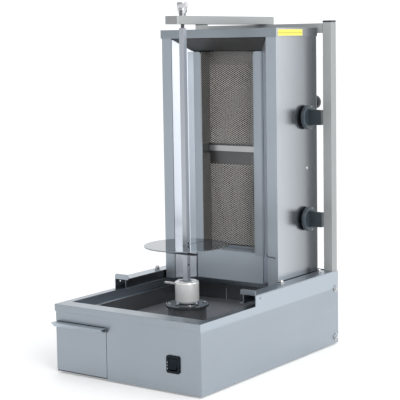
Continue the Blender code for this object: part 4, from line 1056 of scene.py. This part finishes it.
class BROILER_OT_burners(BroilerOperator, Operator):
    """Finish the burner box and tiles, and weave the two mesh guards"""
    bl_idname = "broiler.burners"
    bl_label = "Burners"

    def execute(self, context):
        detail = context.scene.broiler_detail
        finish_node("burner_box", "dark", edge=0.5 * MM)
        self.divider()
        finish_nodes({"ceramic_tile_lower": "ceramic", "ceramic_tile_upper": "ceramic"}, edge=0.4 * MM)
        for level in ("lower", "upper"):
            self.guard(level, detail)
        return {"FINISHED"}

    def divider(self):
        """Rounded strip between the guards, and a dark strip of painted shade over the top of the lower
        guard.
        """
        low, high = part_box("mesh_guard_lower")
        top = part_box("mesh_guard_upper")[0].z - 3 * MM
        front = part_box("burner_box")[0].y
        left, right = low.x + 0.3 * MM, high.x - 0.3 * MM
        strip("divider_strip", (left, front - 0.8 * MM, high.z + 4 * MM),
              (right, front + 0.5 * MM, top), "strip", edge=0.6 * MM, segments=3)
        # Painted shade: a dark sheet in front of the top of the lower guard, where the gap between the
        # burners lies in shadow.
        strip("lower_burner_front", (left, low.y - 1.1 * MM, high.z - 30 * MM),
              (right, low.y - 0.4 * MM, high.z + 1 * MM), "dark", edge=0.2 * MM, segments=2)

    def guard(self, level, detail):
        """A guard before a closed header band, with a wing along each side wall of the recess."""
        node = f"mesh_guard_{level}"
        low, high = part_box(node)
        y = (low.y + high.y) / 2
        tall = high.z - low.z
        lattice(f"{node}_expanded", (low.x, y, low.z), (1, 0, 0), high.x - low.x, tall, detail, node=node)
        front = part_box("burner_frame_left")[0].y + 3 * MM
        # The wings take the darker mesh copy, as painted shade.
        for side, x in (("left", low.x + 0.6 * MM), ("right", high.x - 0.6 * MM)):
            lattice(f"{node}_wing_{side}", (x, front, low.z), (0, 1, 0), y - 1 * MM - front, tall, detail,
                    kind="mesh_wing", body="heater")
        strip(f"burner_header_{level}", (low.x - 1 * MM, high.y + 0.1 * MM, high.z - detail.header),
              (high.x + 1 * MM, high.y + 0.7 * MM, high.z + 0.2 * MM), "dark", edge=0.15 * MM)


class BROILER_OT_gas(BroilerOperator, Operator):
    """Finish the gas pipework, valve cones and inlet"""
    bl_idname = "broiler.gas"
    bl_label = "Gas Train"

    def execute(self, context):
        finish_nodes({"gas_pipework": "brass", "valve_cone_lower": "brass", "valve_cone_upper": "brass"},
                     edge=0.3 * MM, angle=40)
        finish_node("gas_inlet", "plastic", edge=0.6 * MM)
        return {"FINISHED"}


class BROILER_OT_knobs(BroilerOperator, Operator):
    """Build the two control knobs: a dished skirt, a tapered grip and two light dots of painted highlight"""
    bl_idname = "broiler.knobs"
    bl_label = "Control Knobs"

    def execute(self, context):
        for level in ("lower", "upper"):
            self.knob(level)
        return {"FINISHED"}

    def knob(self, level):
        """The dished skirt, then the stem behind it and the grip and marks on it."""
        node = f"knob_{level}"
        low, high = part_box(node)
        radius = (high.z - low.z) / 2
        centre = Vector((0.0, (low.y + high.y) / 2, (low.z + high.z) / 2))
        start = high.x - 45.2 * MM
        face = 12.2 * MM
        round_over = 2.4 * MM
        shoulder = face - 3.4 * MM
        profile = [(0, 0), (4 * MM, 0), (radius - 1.2 * MM, 0), (radius, 1.2 * MM), (radius, shoulder)]
        profile += [(radius - round_over + round_over * math.cos(math.radians(a)),
                     shoulder + round_over * math.sin(math.radians(a))) for a in (30, 60, 90)]
        profile += [(radius - 5.5 * MM, face - 1.4 * MM), (radius - 8 * MM, face - 2.6 * MM),
                    (0, face - 2.2 * MM)]
        place = Matrix.Translation(centre + Vector((start, 0, 0))) @ FACING["+X"]
        bm = bmesh.new()
        add_turned(bm, profile, place, 72)
        built(f"{node}_skirt", bm, ["knob"], node=node, angle=45)
        self.stem(node, low, centre, start)
        self.grip(node, high, centre, start + face)
        self.marks(node, centre, start + face - 1.0 * MM, radius)

    def stem(self, node, low, centre, start):
        bm = bmesh.new()
        place = Matrix.Translation(centre + Vector((low.x, 0, 0))) @ FACING["+X"]
        length = start - low.x + 2 * MM
        add_turned(bm, [(0, 0), (3.4 * MM, 0), (4 * MM, 0.6 * MM), (4 * MM, length), (0, length)], place, 32)
        built(f"{node}_stem", bm, ["zinc"], body=BODY_OF[node])

    def grip(self, node, high, centre, face):
        """Block grip, waisted at its middle and narrower at its face."""
        reach = 19.5 * MM
        waist = 0.86
        steps = 10
        bm = bmesh.new()
        rings = []
        for x, width, length in ((face - 3.5 * MM, 8.2, 1.0), (face + 5 * MM, 7.2, 1.0), (high.x, 6.6, 0.97)):
            ring = []
            for side in (1, -1):
                for step in range(steps + 1):
                    along = side * (1 - 2 * step / steps)
                    half = width * (waist + (1 - waist) * along * along) * MM
                    ring.append(bm.verts.new(centre + Vector((x, side * half, along * reach * length))))
            rings.append(ring)
        for lower, upper in zip(rings, rings[1:]):
            for i in range(len(lower)):
                j = (i + 1) % len(lower)
                bm.faces.new((lower[i], lower[j], upper[j], upper[i]))
        bm.faces.new(rings[0])
        bm.faces.new(rings[-1])
        built(f"{node}_grip", bm, ["grip"], body=BODY_OF[node], edge=1.6 * MM, segments=4, angle=40)

    def marks(self, node, centre, x, radius):
        """Two small light dots near the skirt's rim, top and bottom: painted highlights where the rim catches
        the light.
        """
        bm = bmesh.new()
        for angle in (math.radians(82), math.radians(278)):
            spoke = Vector((0, math.cos(angle), math.sin(angle))) * (radius - 3.2 * MM)
            place = Matrix.Translation(centre + spoke + Vector((x + 0.9 * MM, 0, 0))) @ FACING["+X"]
            add_turned(bm, [(0, 0), (1.1 * MM, 0), (1.1 * MM, 0.25 * MM), (0, 0.3 * MM)], place, 20)
        built(f"{node}_marks", bm, ["mark"], body=BODY_OF[node])


class BROILER_PT_panel(Panel):
    """Lists the broiler's operators and settings"""
    bl_label = "Rotisserie Broiler"
    bl_idname = "BROILER_PT_panel"
    bl_space_type = "VIEW_3D"
    bl_region_type = "UI"
    bl_category = "Broiler"

    def draw(self, context):
        column = self.layout.column()
        for operator in OPERATORS:
            column.operator(operator.bl_idname)
        for name in SETTINGS:
            group = getattr(context.scene, name)
            box = self.layout.box()
            for key in group.bl_rna.properties.keys():
                if key not in {"rna_type", "name"}:
                    box.prop(group, key)


SETTINGS = {"broiler_stage": StageSettings, "broiler_finish": FinishSettings,
            "broiler_detail": DetailSettings}
OPERATORS = (
    BROILER_OT_stage, BROILER_OT_base, BROILER_OT_pan, BROILER_OT_rails, BROILER_OT_drawer, BROILER_OT_switch,
    BROILER_OT_support, BROILER_OT_motor, BROILER_OT_spindle, BROILER_OT_plate, BROILER_OT_pin,
    BROILER_OT_cabinet, BROILER_OT_recess, BROILER_OT_burners, BROILER_OT_gas, BROILER_OT_knobs,
)
CLASSES = (*SETTINGS.values(), *OPERATORS, BROILER_PT_panel)


def register():
    for cls in CLASSES:
        bpy.utils.register_class(cls)
    for name, cls in SETTINGS.items():
        setattr(bpy.types.Scene, name, PointerProperty(type=cls))


def unregister():
    for name in SETTINGS:
        delattr(bpy.types.Scene, name)
    for cls in reversed(CLASSES):
        bpy.utils.unregister_class(cls)


def main():
    register()
    for operator in OPERATORS:
        group, name = operator.bl_idname.split(".")
        getattr(getattr(bpy.ops, group), name)()


if __name__ == "__main__":
    main()
